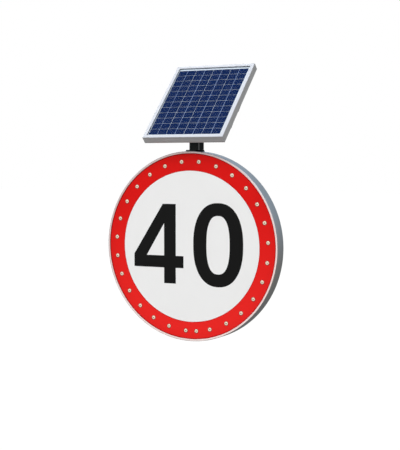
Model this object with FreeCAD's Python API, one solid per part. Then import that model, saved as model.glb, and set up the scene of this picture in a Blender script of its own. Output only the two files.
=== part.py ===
import FreeCAD, Part
import math
import os

from FreeCAD import Vector

# A round speed limit sign, lit by a ring of small lamps and fed by its own solar panel.
# All lengths are millimetres. The model is drawn in the sign's own frame: X to the right,
# Y back from the front plane of the rim, Z up, with the centre of the face at the origin.
# On export it moves to the part frame, whose origin is the lower pole clamp's centre on
# the pole's axis.

# Rim: an aluminium hoop with a lip in front and a flange behind
RIM_RADIUS = 300.0
RIM_DEPTH = 46.0
RIM_WALL = 2.0
LIP_WIDTH = 6.5
LIP_THICKNESS = 1.8
FLANGE_WIDTH = 18.0
FLANGE_THICKNESS = 2.0
HOOP_SLIT = 0.6
JOINT_PLATE_LENGTH = 64.0
JOINT_PLATE_THICKNESS = 2.0
JOINT_PLATE_MARGIN = 5.0
JOINT_CLEARANCE = 0.1

# Face: a sheet with cut films on its front
PLATE_THICKNESS = 2.0
PLATE_CLEARANCE = 1.5
FILM_THICKNESS = 0.3
FILM_CLEARANCE = 0.1
FILM_JOINT = 0.2
BORDER_WIDTH = 61.2

# Digits, as cut film: a plain 4 and a plain 0
DIGIT_TOP = 133.3
DIGIT_FOOT = -120.2
FOUR_LEFT = -202.5
FOUR_RIGHT = -23.5
FOUR_PEAK = -98.0
STEM_LEFT = -93.2
STEM_RIGHT = -51.2
BAR_TOP = -31.7
BAR_FOOT = -69.9
BAR_SHOULDER = -28.6
COUNTER_PEAK = 71.7
COUNTER_LEFT = -156.6
ZERO_CENTRE_X = 97.8
ZERO_CENTRE_Z = 7.0
ZERO_WIDTH = 173.0
ZERO_HEIGHT = 262.6
ZERO_STROKE_SIDE = 46.3
ZERO_STROKE_END = 40.0
ZERO_OUTER_POWER = 2.3
ZERO_INNER_POWER = 2.5
ZERO_OUTER_SIDES = 40
ZERO_INNER_SIDES = 32

# Lamps: seven to each of four quarter boards, each with a square stem in a square hole
LAMP_INSET = 32.0
LAMP_PITCH_ANGLE_RIGHT = 13.2
LAMP_PITCH_ANGLE_LEFT = 13.1
LAMP_START_ANGLE_RIGHT = 6.6
LAMP_START_ANGLE_LEFT = 6.4
LAMP_CLOSING_ANGLE = 175.3
LAMPS_PER_BOARD = 7
LAMP_RADIUS = 5.75
LENS_RADIUS = 2.75
LAMP_RISE = 1.7
STEM_WIDTH = 5.6
STEM_CLEARANCE = 0.2
BOARD_STANDOFF = 4.0
BOARD_WIDTH = 30.0
BOARD_THICKNESS = 1.6
BOARD_GAP_ANGLE = 0.8

# Small rounds, such as bezels and shanks, are drawn with flats
BEZEL_SIDES = 8
SHANK_SIDES = 8

# Back: a flat cover behind the rim's flange, on a strip of foam seal
COVER_THICKNESS = 1.5
COVER_INSET = 1.0
SEAL_THICKNESS = 1.2
SEAL_WIDTH = 10.0
SEAL_INSET = 3.0
SEAL_SIDES = 24

# Battery and controller, carried on the inside of the cover
BATTERY_DEPTH = 18.6
BATTERY_EDGE = 4.0
BATTERY_WIDTH = 112.0
BATTERY_HEIGHT = 132.0
BATTERY_X = -70.0
BATTERY_Z = -40.0
STRAP_WIDTH = 22.0
STRAP_THICKNESS = 1.0
STRAP_CLEARANCE = 0.3
STRAP_EAR = 16.0
CONTROLLER_WIDTH = 96.0
CONTROLLER_HEIGHT = 62.0
CONTROLLER_DEPTH = 20.0
CONTROLLER_X = 78.0
CONTROLLER_Z = -30.0
CONTROLLER_EDGE = 2.5

# Hat-section rails on the back
RAIL_DEPTH = 18.0
RAIL_SHEET = 2.0
RAIL_CROWN = 44.0
RAIL_FOOT = 10.0
RAIL_SPREAD = 7.0
RAIL_MARGIN = 24.0
SHORT_RAIL_LENGTH = 150.0

# Pole clamps
POLE_RADIUS = 38.0
POLE_CLEARANCE = 0.1
CLAMP_SPACING = 300.0
CLAMP_WIDTH = 40.0
SADDLE_WEB = 6.0
SADDLE_FOOT = 66.0
EAR_REACH = 66.0
EAR_THICKNESS = 5.0
CLAMP_STRIP = 4.0
CLAMP_GAP = 22.0
CLAMP_BOLT_X = 54.0

# Bolts and nuts, size M8: low heads, and square necks in square holes
BOLT_RADIUS = 4.0
HEAD_RADIUS = 9.0
HEAD_TOP_RADIUS = 5.5
HEAD_RISE = 4.0
NECK_WIDTH = 8.6
NECK_CLEARANCE = 0.2
NUT_ACROSS = 13.0
NUT_HEIGHT = 6.5
NUT_CLEARANCE = 0.1
BOLT_TAIL = 5.0
FOOT_BOLT_TAIL = 2.0

# Post and its foot bracket
POST_WIDTH = 35.0
POST_WALL = 2.0
POST_CORNER = 2.0
POST_AXIS_Y = 47.5
POST_RISE = 106.4
FOOT_THICKNESS = 4.0
FOOT_FRONT_Y = 7.0
FOOT_BEND = 2.0
FOOT_BOLT_SPACING = 20.0
FOOT_BOLT_MARGIN = 12.0

# Cable openings and their grommets
DUCT_Y = 38.0
DUCT_RADIUS = 3.7
DUCT_FLANGE_RADIUS = 5.3
DUCT_BORE_RADIUS = 2.2
ENTRY_RADIUS = 6.5
ENTRY_FLANGE_RADIUS = 9.0
ENTRY_BORE_RADIUS = 3.5
ENTRY_DROP = 42.0
GROMMET_FLANGE = 1.5
GROMMET_CLEARANCE = 0.15

# Solar panel
PANEL_TILT = 45.0
PANEL_WIDTH = 280.0
PANEL_LENGTH = 340.0
PANEL_THICKNESS = 25.0
PANEL_SEAT = 120.2
FRAME_WALL = 1.6
FRAME_LIP = 11.5
FRAME_FLANGE = 20.0
FRAME_GROOVE = 4.6
FLUTE_WIDTH = 1.6
FLUTE_DEPTH = 0.5
FLUTE_SPACING = 5.4
EDGE_SEALANT = 0.3
LAMINATE_CLEARANCE = 0.4
GLASS_THICKNESS = 3.2
RIBBON_THICKNESS = 0.15
CELL_THICKNESS = 0.3
BACKSHEET_THICKNESS = 0.5
CELL_COLUMNS = 4
CELL_ROWS = 12
CELL_PITCH_ACROSS = 62.6
CELL_PITCH_ALONG = 25.35
CELL_GAP = 0.9
CELLS_TO_LEFT = 2.0
RIBBON_WIDTH = 0.9
KEY_LEG = 34.0
KEY_HEIGHT = 14.0
KEY_THICKNESS = 2.0
KEY_CLEARANCE = 0.1

# Junction box behind the panel
BOX_WIDTH = 70.0
BOX_LENGTH = 54.0
BOX_DEPTH = 13.0
BOX_WALL = 2.0
BOX_LID = 2.0
BOX_CORNER = 4.0
BOX_SEAT = 252.0
GLAND_RADIUS = 3.4
GLAND_NUT_ACROSS = 10.4
GLAND_NUT_LENGTH = 8.0
GLAND_CAP_LENGTH = 6.0
GLAND_BORE_RADIUS = 2.2
GLAND_CLEARANCE = 0.15

# Cross bars and head plate between the panel and the post
BAR_WIDTH = 26.0
BAR_THICKNESS = 5.0
BAR_SPACING = 76.0
BAR_INSET = 3.0
HEAD_WIDTH = 92.0
HEAD_LENGTH = 108.0
HEAD_THICKNESS = 4.0
HEAD_CORNER = 10.0

# Depths behind the front plane, and other places worked out from the sizes above
FILM_FRONT = LIP_THICKNESS + FILM_CLEARANCE
PLATE_FRONT = FILM_FRONT + FILM_THICKNESS
PLATE_BACK = PLATE_FRONT + PLATE_THICKNESS
BOARD_FRONT = PLATE_BACK + BOARD_STANDOFF
FLANGE_FRONT = RIM_DEPTH - FLANGE_THICKNESS
COVER_FRONT = RIM_DEPTH + SEAL_THICKNESS
COVER_BACK = COVER_FRONT + COVER_THICKNESS
CROWN_BACK = COVER_BACK + RAIL_DEPTH
CLAMP_RADIUS = POLE_RADIUS + POLE_CLEARANCE
POLE_Y = CROWN_BACK + SADDLE_WEB + CLAMP_RADIUS
OCTAGON_HALF_SIDE = math.tan(math.pi / 8)
SEAT_FACET = CLAMP_RADIUS * OCTAGON_HALF_SIDE
SADDLE_BACK = POLE_Y - SEAT_FACET
STRAP_FRONT = SADDLE_BACK + CLAMP_GAP
STRAP_BACK = STRAP_FRONT + CLAMP_STRIP
FOOT_TOP = RIM_RADIUS + FOOT_THICKNESS
BORDER_INNER_RADIUS = RIM_RADIUS - BORDER_WIDTH
LAMP_CIRCLE_RADIUS = RIM_RADIUS - LAMP_INSET
COVER_RADIUS = RIM_RADIUS - COVER_INSET
RAIL_HALF_WIDTH = RAIL_CROWN / 2 + RAIL_SPREAD + RAIL_FOOT

# Levels of the panel's layers above its rear plane
GLASS_FRONT = PANEL_THICKNESS - FRAME_WALL - EDGE_SEALANT
GLASS_BACK = GLASS_FRONT - GLASS_THICKNESS
CELLS_FRONT = GLASS_BACK - RIBBON_THICKNESS
CELLS_BACK = CELLS_FRONT - CELL_THICKNESS
SHEET_BACK = CELLS_BACK - BACKSHEET_THICKNESS

ALONG_Y = Vector(0, 1, 0)
AGAINST_Y = Vector(0, -1, 0)
UPWARD = Vector(0, 0, 1)
FULL_TURN = 360


def disc(radius, front, back):
    """A round slab about the sign's axis."""
    return Part.makeCylinder(radius, back - front, Vector(0, front, 0), ALONG_Y)


def annulus(inner, outer, front, back):
    """A flat ring about the sign's axis."""
    return disc(outer, front, back).cut(disc(inner, front, back))


def block(x, y, z):
    """A box from three (low, high) pairs."""
    corner = Vector(x[0], y[0], z[0])
    return Part.makeBox(x[1] - x[0], y[1] - y[0], z[1] - z[0], corner)


def prism(outline, direction):
    """A straight-sided solid on a closed outline of points."""
    wire = Part.makePolygon(outline + outline[:1])
    return Part.Face(wire).extrude(direction)


def ring_of_points(radius, sides, start, direction):
    """Corners of an even-sided figure square to a direction, all at one radius."""
    axis = Vector(direction).normalize()
    across = axis.cross(UPWARD if abs(axis.z) < 0.5 else ALONG_Y).normalize()
    up = across.cross(axis)
    points = []
    for step in range(sides):
        angle = 2 * math.pi * (step + 0.5) / sides
        points.append(start + across * (radius * math.cos(angle)) + up * (radius * math.sin(angle)))
    return points


def flatted_bar(radius, start, direction, sides=SHANK_SIDES):
    """A small round drawn with flats, from a start point along a direction."""
    return prism(ring_of_points(radius, sides, start, direction), direction)


def frustum(first_radius, last_radius, sides, start, direction):
    """A tapered solid with flats between two radii."""
    first = ring_of_points(first_radius, sides, start, direction)
    last = ring_of_points(last_radius, sides, start + direction, direction)
    rings = [first, last]
    rings += [[first[i - 1], first[i], last[i], last[i - 1]] for i in range(sides)]
    faces = [Part.Face(Part.makePolygon(ring + ring[:1])) for ring in rings]
    return Part.makeSolid(Part.makeShell(faces))


def turned(direction):
    """A flat direction turned a quarter to the left."""
    return Vector(-direction.y, direction.x, 0)


def folded_strip(path, thickness):
    """The closed outline of a sheet folded along its middle line, a path of flat (a, b) points."""
    points = [Vector(a, b, 0) for a, b in path]
    runs = [(points[i + 1] - points[i]).normalize() for i in range(len(points) - 1)]
    left, right = [], []
    for i, point in enumerate(points):
        before = runs[max(i - 1, 0)]
        after = runs[min(i, len(runs) - 1)]
        middle = (turned(before) + turned(after)).normalize()
        reach = thickness / 2 / math.cos(before.getAngle(after) / 2)
        left.append(point + middle * reach)
        right.append(point - middle * reach)
    return left + right[::-1]


def folded_along_x(path, thickness, length, height=0.0):
    """A folded sheet whose (y, z) section runs along X, centred on the sign's upright middle."""
    outline = [Vector(-length / 2, p.x, p.y + height) for p in folded_strip(path, thickness)]
    return prism(outline, Vector(length, 0, 0))


def edges_near(shape, places, along):
    """The straight edges of a shape through any of the places, parallel to a direction."""
    found = []
    for edge in shape.Edges:
        if len(edge.Vertexes) < 2:
            continue
        run = edge.Vertexes[1].Point - edge.Vertexes[0].Point
        if run.Length < 1e-6 or run.cross(along).Length > 1e-6 * run.Length:
            continue
        for place in places:
            offset = place - edge.Vertexes[0].Point
            if offset.cross(along).Length < 1e-3:
                found.append(edge)
    return found


def on_sign(angle, radius, depth=0.0):
    """A point of the face, by its clockwise angle from the top."""
    turn = math.radians(angle)
    return Vector(radius * math.sin(turn), depth, radius * math.cos(turn))


def housing_ring():
    """The rolled hoop: lip, wall and rear flange in one section, open at a slit at the foot."""
    lip_radius = RIM_RADIUS - LIP_WIDTH
    wall_radius = RIM_RADIUS - RIM_WALL
    flange_radius = wall_radius - FLANGE_WIDTH
    section = [
        (lip_radius, 0.0),
        (RIM_RADIUS, 0.0),
        (RIM_RADIUS, RIM_DEPTH),
        (flange_radius, RIM_DEPTH),
        (flange_radius, FLANGE_FRONT),
        (wall_radius, FLANGE_FRONT),
        (wall_radius, LIP_THICKNESS),
        (lip_radius, LIP_THICKNESS),
    ]
    outline = [Vector(radius, depth, 0) for radius, depth in section]
    face = Part.Face(Part.makePolygon(outline + outline[:1]))
    hoop = face.revolve(Vector(0, 0, 0), ALONG_Y, FULL_TURN)
    half_slit = HOOP_SLIT / 2
    slit = block((-half_slit, half_slit), (0, RIM_DEPTH), (-RIM_RADIUS, -flange_radius / 2))
    start = Vector(0, DUCT_Y, flange_radius)
    duct = flatted_bar(DUCT_RADIUS, start, UPWARD * FLANGE_WIDTH * 2)
    return hoop.cut(Part.makeCompound([slit, duct]))


def hoop_joint_plate():
    """The curved plate inside the foot of the rim that closes the hoop."""
    outer = RIM_RADIUS - RIM_WALL - JOINT_CLEARANCE
    front = PLATE_BACK + JOINT_PLATE_MARGIN
    back = FLANGE_FRONT - JOINT_PLATE_MARGIN
    curved = annulus(outer - JOINT_PLATE_THICKNESS, outer, front, back)
    half = JOINT_PLATE_LENGTH / 2
    return curved.common(block((-half, half), (front, back), (-RIM_RADIUS, -RIM_RADIUS / 2)))


def face_radius():
    """Outer radius of the face sheet and of its border film, behind the rim's lip."""
    return RIM_RADIUS - RIM_WALL - PLATE_CLEARANCE


def lamp_angles():
    """Clockwise angles of the lamps, one list for each quarter board.

    Two runs of even pitch start beside the top, and one lamp closes the ring near the foot."""
    half = 2 * LAMPS_PER_BOARD
    right = [LAMP_START_ANGLE_RIGHT + LAMP_PITCH_ANGLE_RIGHT * i for i in range(half - 1)]
    left = [FULL_TURN - LAMP_START_ANGLE_LEFT - LAMP_PITCH_ANGLE_LEFT * i for i in range(half)]
    ring = right + [LAMP_CLOSING_ANGLE] + left[::-1]
    return [ring[i:i + LAMPS_PER_BOARD] for i in range(0, len(ring), LAMPS_PER_BOARD)]


def at_lamp(shape, angle):
    """Carries a shape drawn on the sign's axis out to a lamp's place, turned to face outwards."""
    shape.rotate(Vector(0, 0, 0), ALONG_Y, angle)
    shape.translate(on_sign(angle, LAMP_CIRCLE_RADIUS))
    return shape


def lamp_holes():
    """The square holes for the lamps' stems, as one cutting tool."""
    half = STEM_WIDTH / 2 + STEM_CLEARANCE
    holes = []
    for quarter in lamp_angles():
        for angle in quarter:
            hole = block((-half, half), (0, BOARD_FRONT), (-half, half))
            holes.append(at_lamp(hole, angle))
    return Part.makeCompound(holes)


def face_plate():
    """The aluminium face sheet, bonded behind the rim's lip."""
    return disc(face_radius(), PLATE_FRONT, PLATE_BACK).cut(lamp_holes())


def white_sheeting():
    """The white film of the field inside the border."""
    return disc(BORDER_INNER_RADIUS - FILM_JOINT, FILM_FRONT, PLATE_FRONT)


def red_border():
    """The red film of the border, cut out for the lamps' stems."""
    film = annulus(BORDER_INNER_RADIUS, face_radius(), FILM_FRONT, PLATE_FRONT)
    return film.cut(lamp_holes())


def cut_film(outline):
    """A piece of film on the white sheeting, from (x, z) points."""
    points = [Vector(x, FILM_FRONT - FILM_THICKNESS, z) for x, z in outline]
    return prism(points, ALONG_Y * FILM_THICKNESS)


def digit_four():
    """A plain 4: a slanted stroke, a bar and an upright stem, round a three-cornered counter."""
    outline = [
        (FOUR_PEAK, DIGIT_TOP),
        (STEM_RIGHT, DIGIT_TOP),
        (STEM_RIGHT, BAR_TOP),
        (FOUR_RIGHT, BAR_TOP),
        (FOUR_RIGHT, BAR_FOOT),
        (STEM_RIGHT, BAR_FOOT),
        (STEM_RIGHT, DIGIT_FOOT),
        (STEM_LEFT, DIGIT_FOOT),
        (STEM_LEFT, BAR_FOOT),
        (FOUR_LEFT, BAR_FOOT),
        (FOUR_LEFT, BAR_SHOULDER),
    ]
    counter = [(STEM_LEFT, COUNTER_PEAK), (STEM_LEFT, BAR_TOP), (COUNTER_LEFT, BAR_TOP)]
    return cut_film(outline).cut(cut_film(counter))


def squared_oval(width, height, power, sides):
    """A film with the outline |2x / width| ^ power + |2z / height| ^ power = 1."""
    outline = []
    for step in range(sides):
        angle = 2 * math.pi * (step + 0.5) / sides
        across, up = math.cos(angle), math.sin(angle)
        x = math.copysign(abs(across) ** (2 / power), across) * width / 2
        z = math.copysign(abs(up) ** (2 / power), up) * height / 2
        outline.append((ZERO_CENTRE_X + x, ZERO_CENTRE_Z + z))
    return cut_film(outline)


def digit_zero():
    """A plain 0 between two squared ovals, with its ends a little thinner than its sides."""
    inner_width = ZERO_WIDTH - 2 * ZERO_STROKE_SIDE
    inner_height = ZERO_HEIGHT - 2 * ZERO_STROKE_END
    outer = squared_oval(ZERO_WIDTH, ZERO_HEIGHT, ZERO_OUTER_POWER, ZERO_OUTER_SIDES)
    inner = squared_oval(inner_width, inner_height, ZERO_INNER_POWER, ZERO_INNER_SIDES)
    return outer.cut(inner)


def led_lamp(angle):
    """One lamp: a bezel that tapers to its lens, on a square stem that reaches the board."""
    start = Vector(0, FILM_FRONT, 0)
    bezel = frustum(LAMP_RADIUS, LENS_RADIUS, BEZEL_SIDES, start, AGAINST_Y * LAMP_RISE)
    half = STEM_WIDTH / 2
    stem = block((-half, half), (FILM_FRONT, BOARD_FRONT), (-half, half))
    return at_lamp(bezel.fuse(stem), angle)


def led_board(angles, previous, following):
    """A quarter board, straight between the half-way marks of its lamps."""
    marks = [(previous + angles[0]) / 2 + BOARD_GAP_ANGLE / 2]
    marks += [(angles[i] + angles[i + 1]) / 2 for i in range(len(angles) - 1)]
    marks.append((angles[-1] + following) / 2 - BOARD_GAP_ANGLE / 2)
    outer = LAMP_CIRCLE_RADIUS + BOARD_WIDTH / 2
    inner = LAMP_CIRCLE_RADIUS - BOARD_WIDTH / 2
    outline = [on_sign(mark, outer, BOARD_FRONT) for mark in marks]
    outline += [on_sign(mark, inner, BOARD_FRONT) for mark in reversed(marks)]
    return prism(outline, ALONG_Y * BOARD_THICKNESS)


def lamp_pieces():
    """Boards and lamps of the four quarters, by name."""
    quarters = lamp_angles()
    last = len(quarters) - 1
    pieces = {}
    for i, angles in enumerate(quarters):
        previous = quarters[i - 1][-1] - (FULL_TURN if i == 0 else 0)
        following = quarters[(i + 1) % len(quarters)][0] + (FULL_TURN if i == last else 0)
        lamps = [led_lamp(angle) for angle in angles]
        pieces["led_board_%d" % (i + 1)] = led_board(angles, previous, following)
        pieces["led_lamps_%d" % (i + 1)] = Part.makeCompound(lamps)
    return pieces


def back_cover():
    """The flat cover over the rim's rear flange."""
    return disc(COVER_RADIUS, COVER_FRONT, COVER_BACK)


def cover_seal():
    """Foam strip laid in short straight lengths round the flange."""
    outer = RIM_RADIUS - SEAL_INSET
    start = Vector(0, RIM_DEPTH, 0)
    run = ALONG_Y * SEAL_THICKNESS
    hole = flatted_bar(outer - SEAL_WIDTH, start, run, SEAL_SIDES)
    return flatted_bar(outer, start, run, SEAL_SIDES).cut(hole)


def battery_pack():
    """The wrapped battery on the cover's inside, with its two long front edges broken."""
    pack = block(
        (BATTERY_X - BATTERY_WIDTH / 2, BATTERY_X + BATTERY_WIDTH / 2),
        (COVER_FRONT - BATTERY_DEPTH, COVER_FRONT),
        (BATTERY_Z - BATTERY_HEIGHT / 2, BATTERY_Z + BATTERY_HEIGHT / 2),
    )
    places = [
        Vector(BATTERY_X + side * BATTERY_WIDTH / 2, COVER_FRONT - BATTERY_DEPTH, BATTERY_Z)
        for side in (-1, 1)
    ]
    return pack.makeChamfer(BATTERY_EDGE, edges_near(pack, places, UPWARD))


def battery_strap():
    """A folded strap over the pack, with an ear on the cover at each side."""
    half = BATTERY_WIDTH / 2 + STRAP_CLEARANCE + STRAP_THICKNESS / 2
    rest = COVER_FRONT - STRAP_THICKNESS / 2
    crest = COVER_FRONT - BATTERY_DEPTH - STRAP_CLEARANCE - STRAP_THICKNESS / 2
    path = [
        (-half - STRAP_EAR, rest),
        (-half, rest),
        (-half, crest),
        (half, crest),
        (half, rest),
        (half + STRAP_EAR, rest),
    ]
    foot = Vector(BATTERY_X, 0, BATTERY_Z - STRAP_WIDTH / 2)
    outline = [point + foot for point in folded_strip(path, STRAP_THICKNESS)]
    return prism(outline, UPWARD * STRAP_WIDTH)


def controller_box():
    """The charge and flash controller's case, with its front edges broken."""
    case = block(
        (CONTROLLER_X - CONTROLLER_WIDTH / 2, CONTROLLER_X + CONTROLLER_WIDTH / 2),
        (COVER_FRONT - CONTROLLER_DEPTH, COVER_FRONT),
        (CONTROLLER_Z - CONTROLLER_HEIGHT / 2, CONTROLLER_Z + CONTROLLER_HEIGHT / 2),
    )
    middle = COVER_FRONT - CONTROLLER_DEPTH / 2
    front = [edge for edge in case.Edges if edge.BoundBox.YMax < middle]
    return case.makeChamfer(CONTROLLER_EDGE, front)


def square_hole(x, z, front, back):
    """A hole for a bolt's square neck, along the depth."""
    half = NECK_WIDTH / 2 + NECK_CLEARANCE
    return block((x - half, x + half), (front, back), (z - half, z + half))


def coach_bolt(x, z, seat, neck, tail):
    """A low-headed bolt along the depth.

    Its head bears at the seat, its square neck ends at one depth and its shank at another."""
    facing = math.copysign(1.0, tail - seat)
    start = Vector(x, seat, z)
    head = frustum(HEAD_RADIUS, HEAD_TOP_RADIUS, SHANK_SIDES, start, ALONG_Y * -facing * HEAD_RISE)
    half = NECK_WIDTH / 2
    depths = (min(seat, neck), max(seat, neck))
    square = block((x - half, x + half), depths, (z - half, z + half))
    shank = flatted_bar(BOLT_RADIUS, start, ALONG_Y * (tail - seat))
    return head.fuse([square, shank])


def hex_nut(x, z, seat, facing):
    """A hexagon nut that bears at the seat."""
    start = Vector(x, seat, z)
    run = ALONG_Y * facing * NUT_HEIGHT
    bore = flatted_bar(BOLT_RADIUS + NUT_CLEARANCE, start, run)
    return flatted_bar(NUT_ACROSS / math.sqrt(3), start, run, 6).cut(bore)


def hat_rail(length, height, holes):
    """A folded hat-section rail on the cover's back, with square holes in its crown.

    Each hole is an (x, z) place, and height is the rail's middle above the sign's centre."""
    half_crown = (RAIL_CROWN - RAIL_SHEET) / 2
    half_base = half_crown + RAIL_SPREAD
    rest = COVER_BACK + RAIL_SHEET / 2
    crown = CROWN_BACK - RAIL_SHEET / 2
    path = [
        (rest, -half_base - RAIL_FOOT),
        (rest, -half_base),
        (crown, -half_crown),
        (crown, half_crown),
        (rest, half_base),
        (rest, half_base + RAIL_FOOT),
    ]
    rail = folded_along_x(path, RAIL_SHEET, length, height)
    drills = [square_hole(x, z, CROWN_BACK - 2 * RAIL_SHEET, CROWN_BACK) for x, z in holes]
    return rail.cut(Part.makeCompound(drills))


def clamp_heights():
    """Heights of the clamps from the sign's centre, by name."""
    return {"upper": CLAMP_SPACING / 2, "lower": -CLAMP_SPACING / 2}


def ear_places(height):
    """Places of a clamp's two bolts."""
    return [(-CLAMP_BOLT_X, height), (CLAMP_BOLT_X, height)]


def clamp_saddle(height):
    """The front half of a clamp: an extruded block with a flat foot, two ears and a seat.

    The seat has three flats that all touch the pole."""
    ear_front = SADDLE_BACK - EAR_THICKNESS
    half_foot = SADDLE_FOOT / 2
    shoulder = CLAMP_BOLT_X - HEAD_RADIUS
    section = [
        (-half_foot, CROWN_BACK),
        (half_foot, CROWN_BACK),
        (shoulder, ear_front),
        (EAR_REACH, ear_front),
        (EAR_REACH, SADDLE_BACK),
        (CLAMP_RADIUS, SADDLE_BACK),
        (SEAT_FACET, POLE_Y - CLAMP_RADIUS),
        (-SEAT_FACET, POLE_Y - CLAMP_RADIUS),
        (-CLAMP_RADIUS, SADDLE_BACK),
        (-EAR_REACH, SADDLE_BACK),
        (-EAR_REACH, ear_front),
        (-shoulder, ear_front),
    ]
    outline = [Vector(x, y, height - CLAMP_WIDTH / 2) for x, y in section]
    holes = [square_hole(x, z, CROWN_BACK, POLE_Y) for x, z in ear_places(height)]
    return prism(outline, UPWARD * CLAMP_WIDTH).cut(Part.makeCompound(holes))


def clamp_strap(height):
    """The rear half of a clamp: an extruded yoke with flats outside, two ears and a round seat."""
    outer = CLAMP_RADIUS + CLAMP_STRIP
    facet = outer * OCTAGON_HALF_SIDE
    half = [
        (EAR_REACH, STRAP_FRONT),
        (EAR_REACH, STRAP_BACK),
        (outer, STRAP_BACK),
        (outer, POLE_Y + facet),
        (facet, POLE_Y + outer),
    ]
    section = half + [(-x, y) for x, y in reversed(half)]
    foot = height - CLAMP_WIDTH / 2
    yoke = prism([Vector(x, y, foot) for x, y in section], UPWARD * CLAMP_WIDTH)
    pole = Part.makeCylinder(CLAMP_RADIUS, CLAMP_WIDTH, Vector(0, POLE_Y, foot), UPWARD)
    holes = [square_hole(x, z, STRAP_FRONT, STRAP_BACK) for x, z in ear_places(height)]
    return yoke.cut(Part.makeCompound([pole] + holes))


def rail_length(height):
    """Length of a rail across the cover at a height, which ends a margin inside its edge."""
    corner_z = abs(height) + RAIL_HALF_WIDTH
    return 2 * math.sqrt((COVER_RADIUS - RAIL_MARGIN) ** 2 - corner_z ** 2)


def short_rail_height():
    """Height of the short rail, midway between the upper rail and the cover's top."""
    return (CLAMP_SPACING / 2 + RAIL_HALF_WIDTH + COVER_RADIUS) / 2


def clamp_pieces():
    """Rails and clamp halves at both heights, by name."""
    pieces = {}
    for name, height in clamp_heights().items():
        pieces["rail_" + name] = hat_rail(rail_length(height), height, ear_places(height))
        pieces[name + "_clamp_saddle"] = clamp_saddle(height)
        pieces[name + "_clamp_strap"] = clamp_strap(height)
    return pieces


def clamp_bolts():
    """Four long bolts, with their heads inside the rails and their tails behind the straps."""
    seat = CROWN_BACK - RAIL_SHEET
    tail = STRAP_BACK + NUT_HEIGHT + BOLT_TAIL
    return Part.makeCompound([
        coach_bolt(x, z, seat, CROWN_BACK, tail)
        for height in clamp_heights().values() for x, z in ear_places(height)
    ])


def foot_bolt_places():
    """Places of the two bolts that hold the foot bracket to the short rail."""
    return [(0, short_rail_height() + side * FOOT_BOLT_SPACING / 2) for side in (-1, 1)]


def foot_bolts():
    """Two bolts through the bracket's leg, with their tails inside the short rail."""
    seat = CROWN_BACK + FOOT_THICKNESS
    tail = CROWN_BACK - RAIL_SHEET - NUT_HEIGHT - FOOT_BOLT_TAIL
    return Part.makeCompound([
        coach_bolt(x, z, seat, CROWN_BACK, tail) for x, z in foot_bolt_places()
    ])


def hex_nuts():
    """The nuts: four behind the straps' ears and two inside the short rail."""
    nuts = [
        hex_nut(x, z, STRAP_BACK, 1)
        for height in clamp_heights().values() for x, z in ear_places(height)
    ]
    nuts += [hex_nut(x, z, CROWN_BACK - RAIL_SHEET, -1) for x, z in foot_bolt_places()]
    return Part.makeCompound(nuts)


def foot_bracket():
    """A folded plate: it lies on the rim's top under the post and turns down to the short rail."""
    middle_z = RIM_RADIUS + FOOT_THICKNESS / 2
    middle_y = CROWN_BACK + FOOT_THICKNESS / 2
    leg_end = short_rail_height() - FOOT_BOLT_SPACING / 2 - FOOT_BOLT_MARGIN
    path = [(FOOT_FRONT_Y, middle_z), (middle_y, middle_z), (middle_y, leg_end)]
    bracket = folded_along_x(path, FOOT_THICKNESS, POST_WIDTH)
    across = Vector(1, 0, 0)
    outside = [Vector(0, CROWN_BACK + FOOT_THICKNESS, FOOT_TOP)]
    inside = [Vector(0, CROWN_BACK, RIM_RADIUS)]
    bracket = bracket.makeFillet(
        FOOT_BEND + FOOT_THICKNESS, edges_near(bracket, outside, across)
    )
    bracket = bracket.makeFillet(FOOT_BEND, edges_near(bracket, inside, across))
    room = DUCT_FLANGE_RADIUS + GROMMET_CLEARANCE
    start = Vector(0, DUCT_Y, RIM_RADIUS)
    drills = [flatted_bar(room, start, UPWARD * FOOT_THICKNESS)]
    for x, z in foot_bolt_places():
        drills.append(square_hole(x, z, CROWN_BACK, CROWN_BACK + FOOT_THICKNESS))
    return bracket.cut(Part.makeCompound(drills))


def grommet(neck, flange, bore, gap):
    """A rubber grommet along Z with a flange each side of the gap that starts at the origin."""
    low = Vector(0, 0, -GROMMET_FLANGE)
    body = flatted_bar(neck, Vector(0, 0, 0), UPWARD * gap)
    flanges = [flatted_bar(flange, Vector(0, 0, z), UPWARD * GROMMET_FLANGE) for z in (low.z, gap)]
    hole = flatted_bar(bore, low, UPWARD * (gap + 2 * GROMMET_FLANGE))
    return body.fuse(flanges).cut(hole)


def duct_grommet():
    """The grommet in the rim's top, where the panel's lead passes into the housing."""
    gap = RIM_WALL + GROMMET_CLEARANCE
    neck = DUCT_RADIUS - GROMMET_CLEARANCE
    piece = grommet(neck, DUCT_FLANGE_RADIUS, DUCT_BORE_RADIUS, gap)
    piece.translate(Vector(0, DUCT_Y, RIM_RADIUS - gap))
    return piece


def entry_height():
    """Height of the lead's entry in the post's rear wall."""
    return FOOT_TOP + POST_RISE - ENTRY_DROP


def post_grommet():
    """The grommet in the post's rear wall, where the panel's lead passes into the post."""
    neck = ENTRY_RADIUS - GROMMET_CLEARANCE
    piece = grommet(neck, ENTRY_FLANGE_RADIUS, ENTRY_BORE_RADIUS, POST_WALL)
    piece.rotate(Vector(0, 0, 0), Vector(1, 0, 0), 90)
    piece.translate(Vector(0, POST_AXIS_Y + POST_WIDTH / 2, entry_height()))
    return piece


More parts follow.
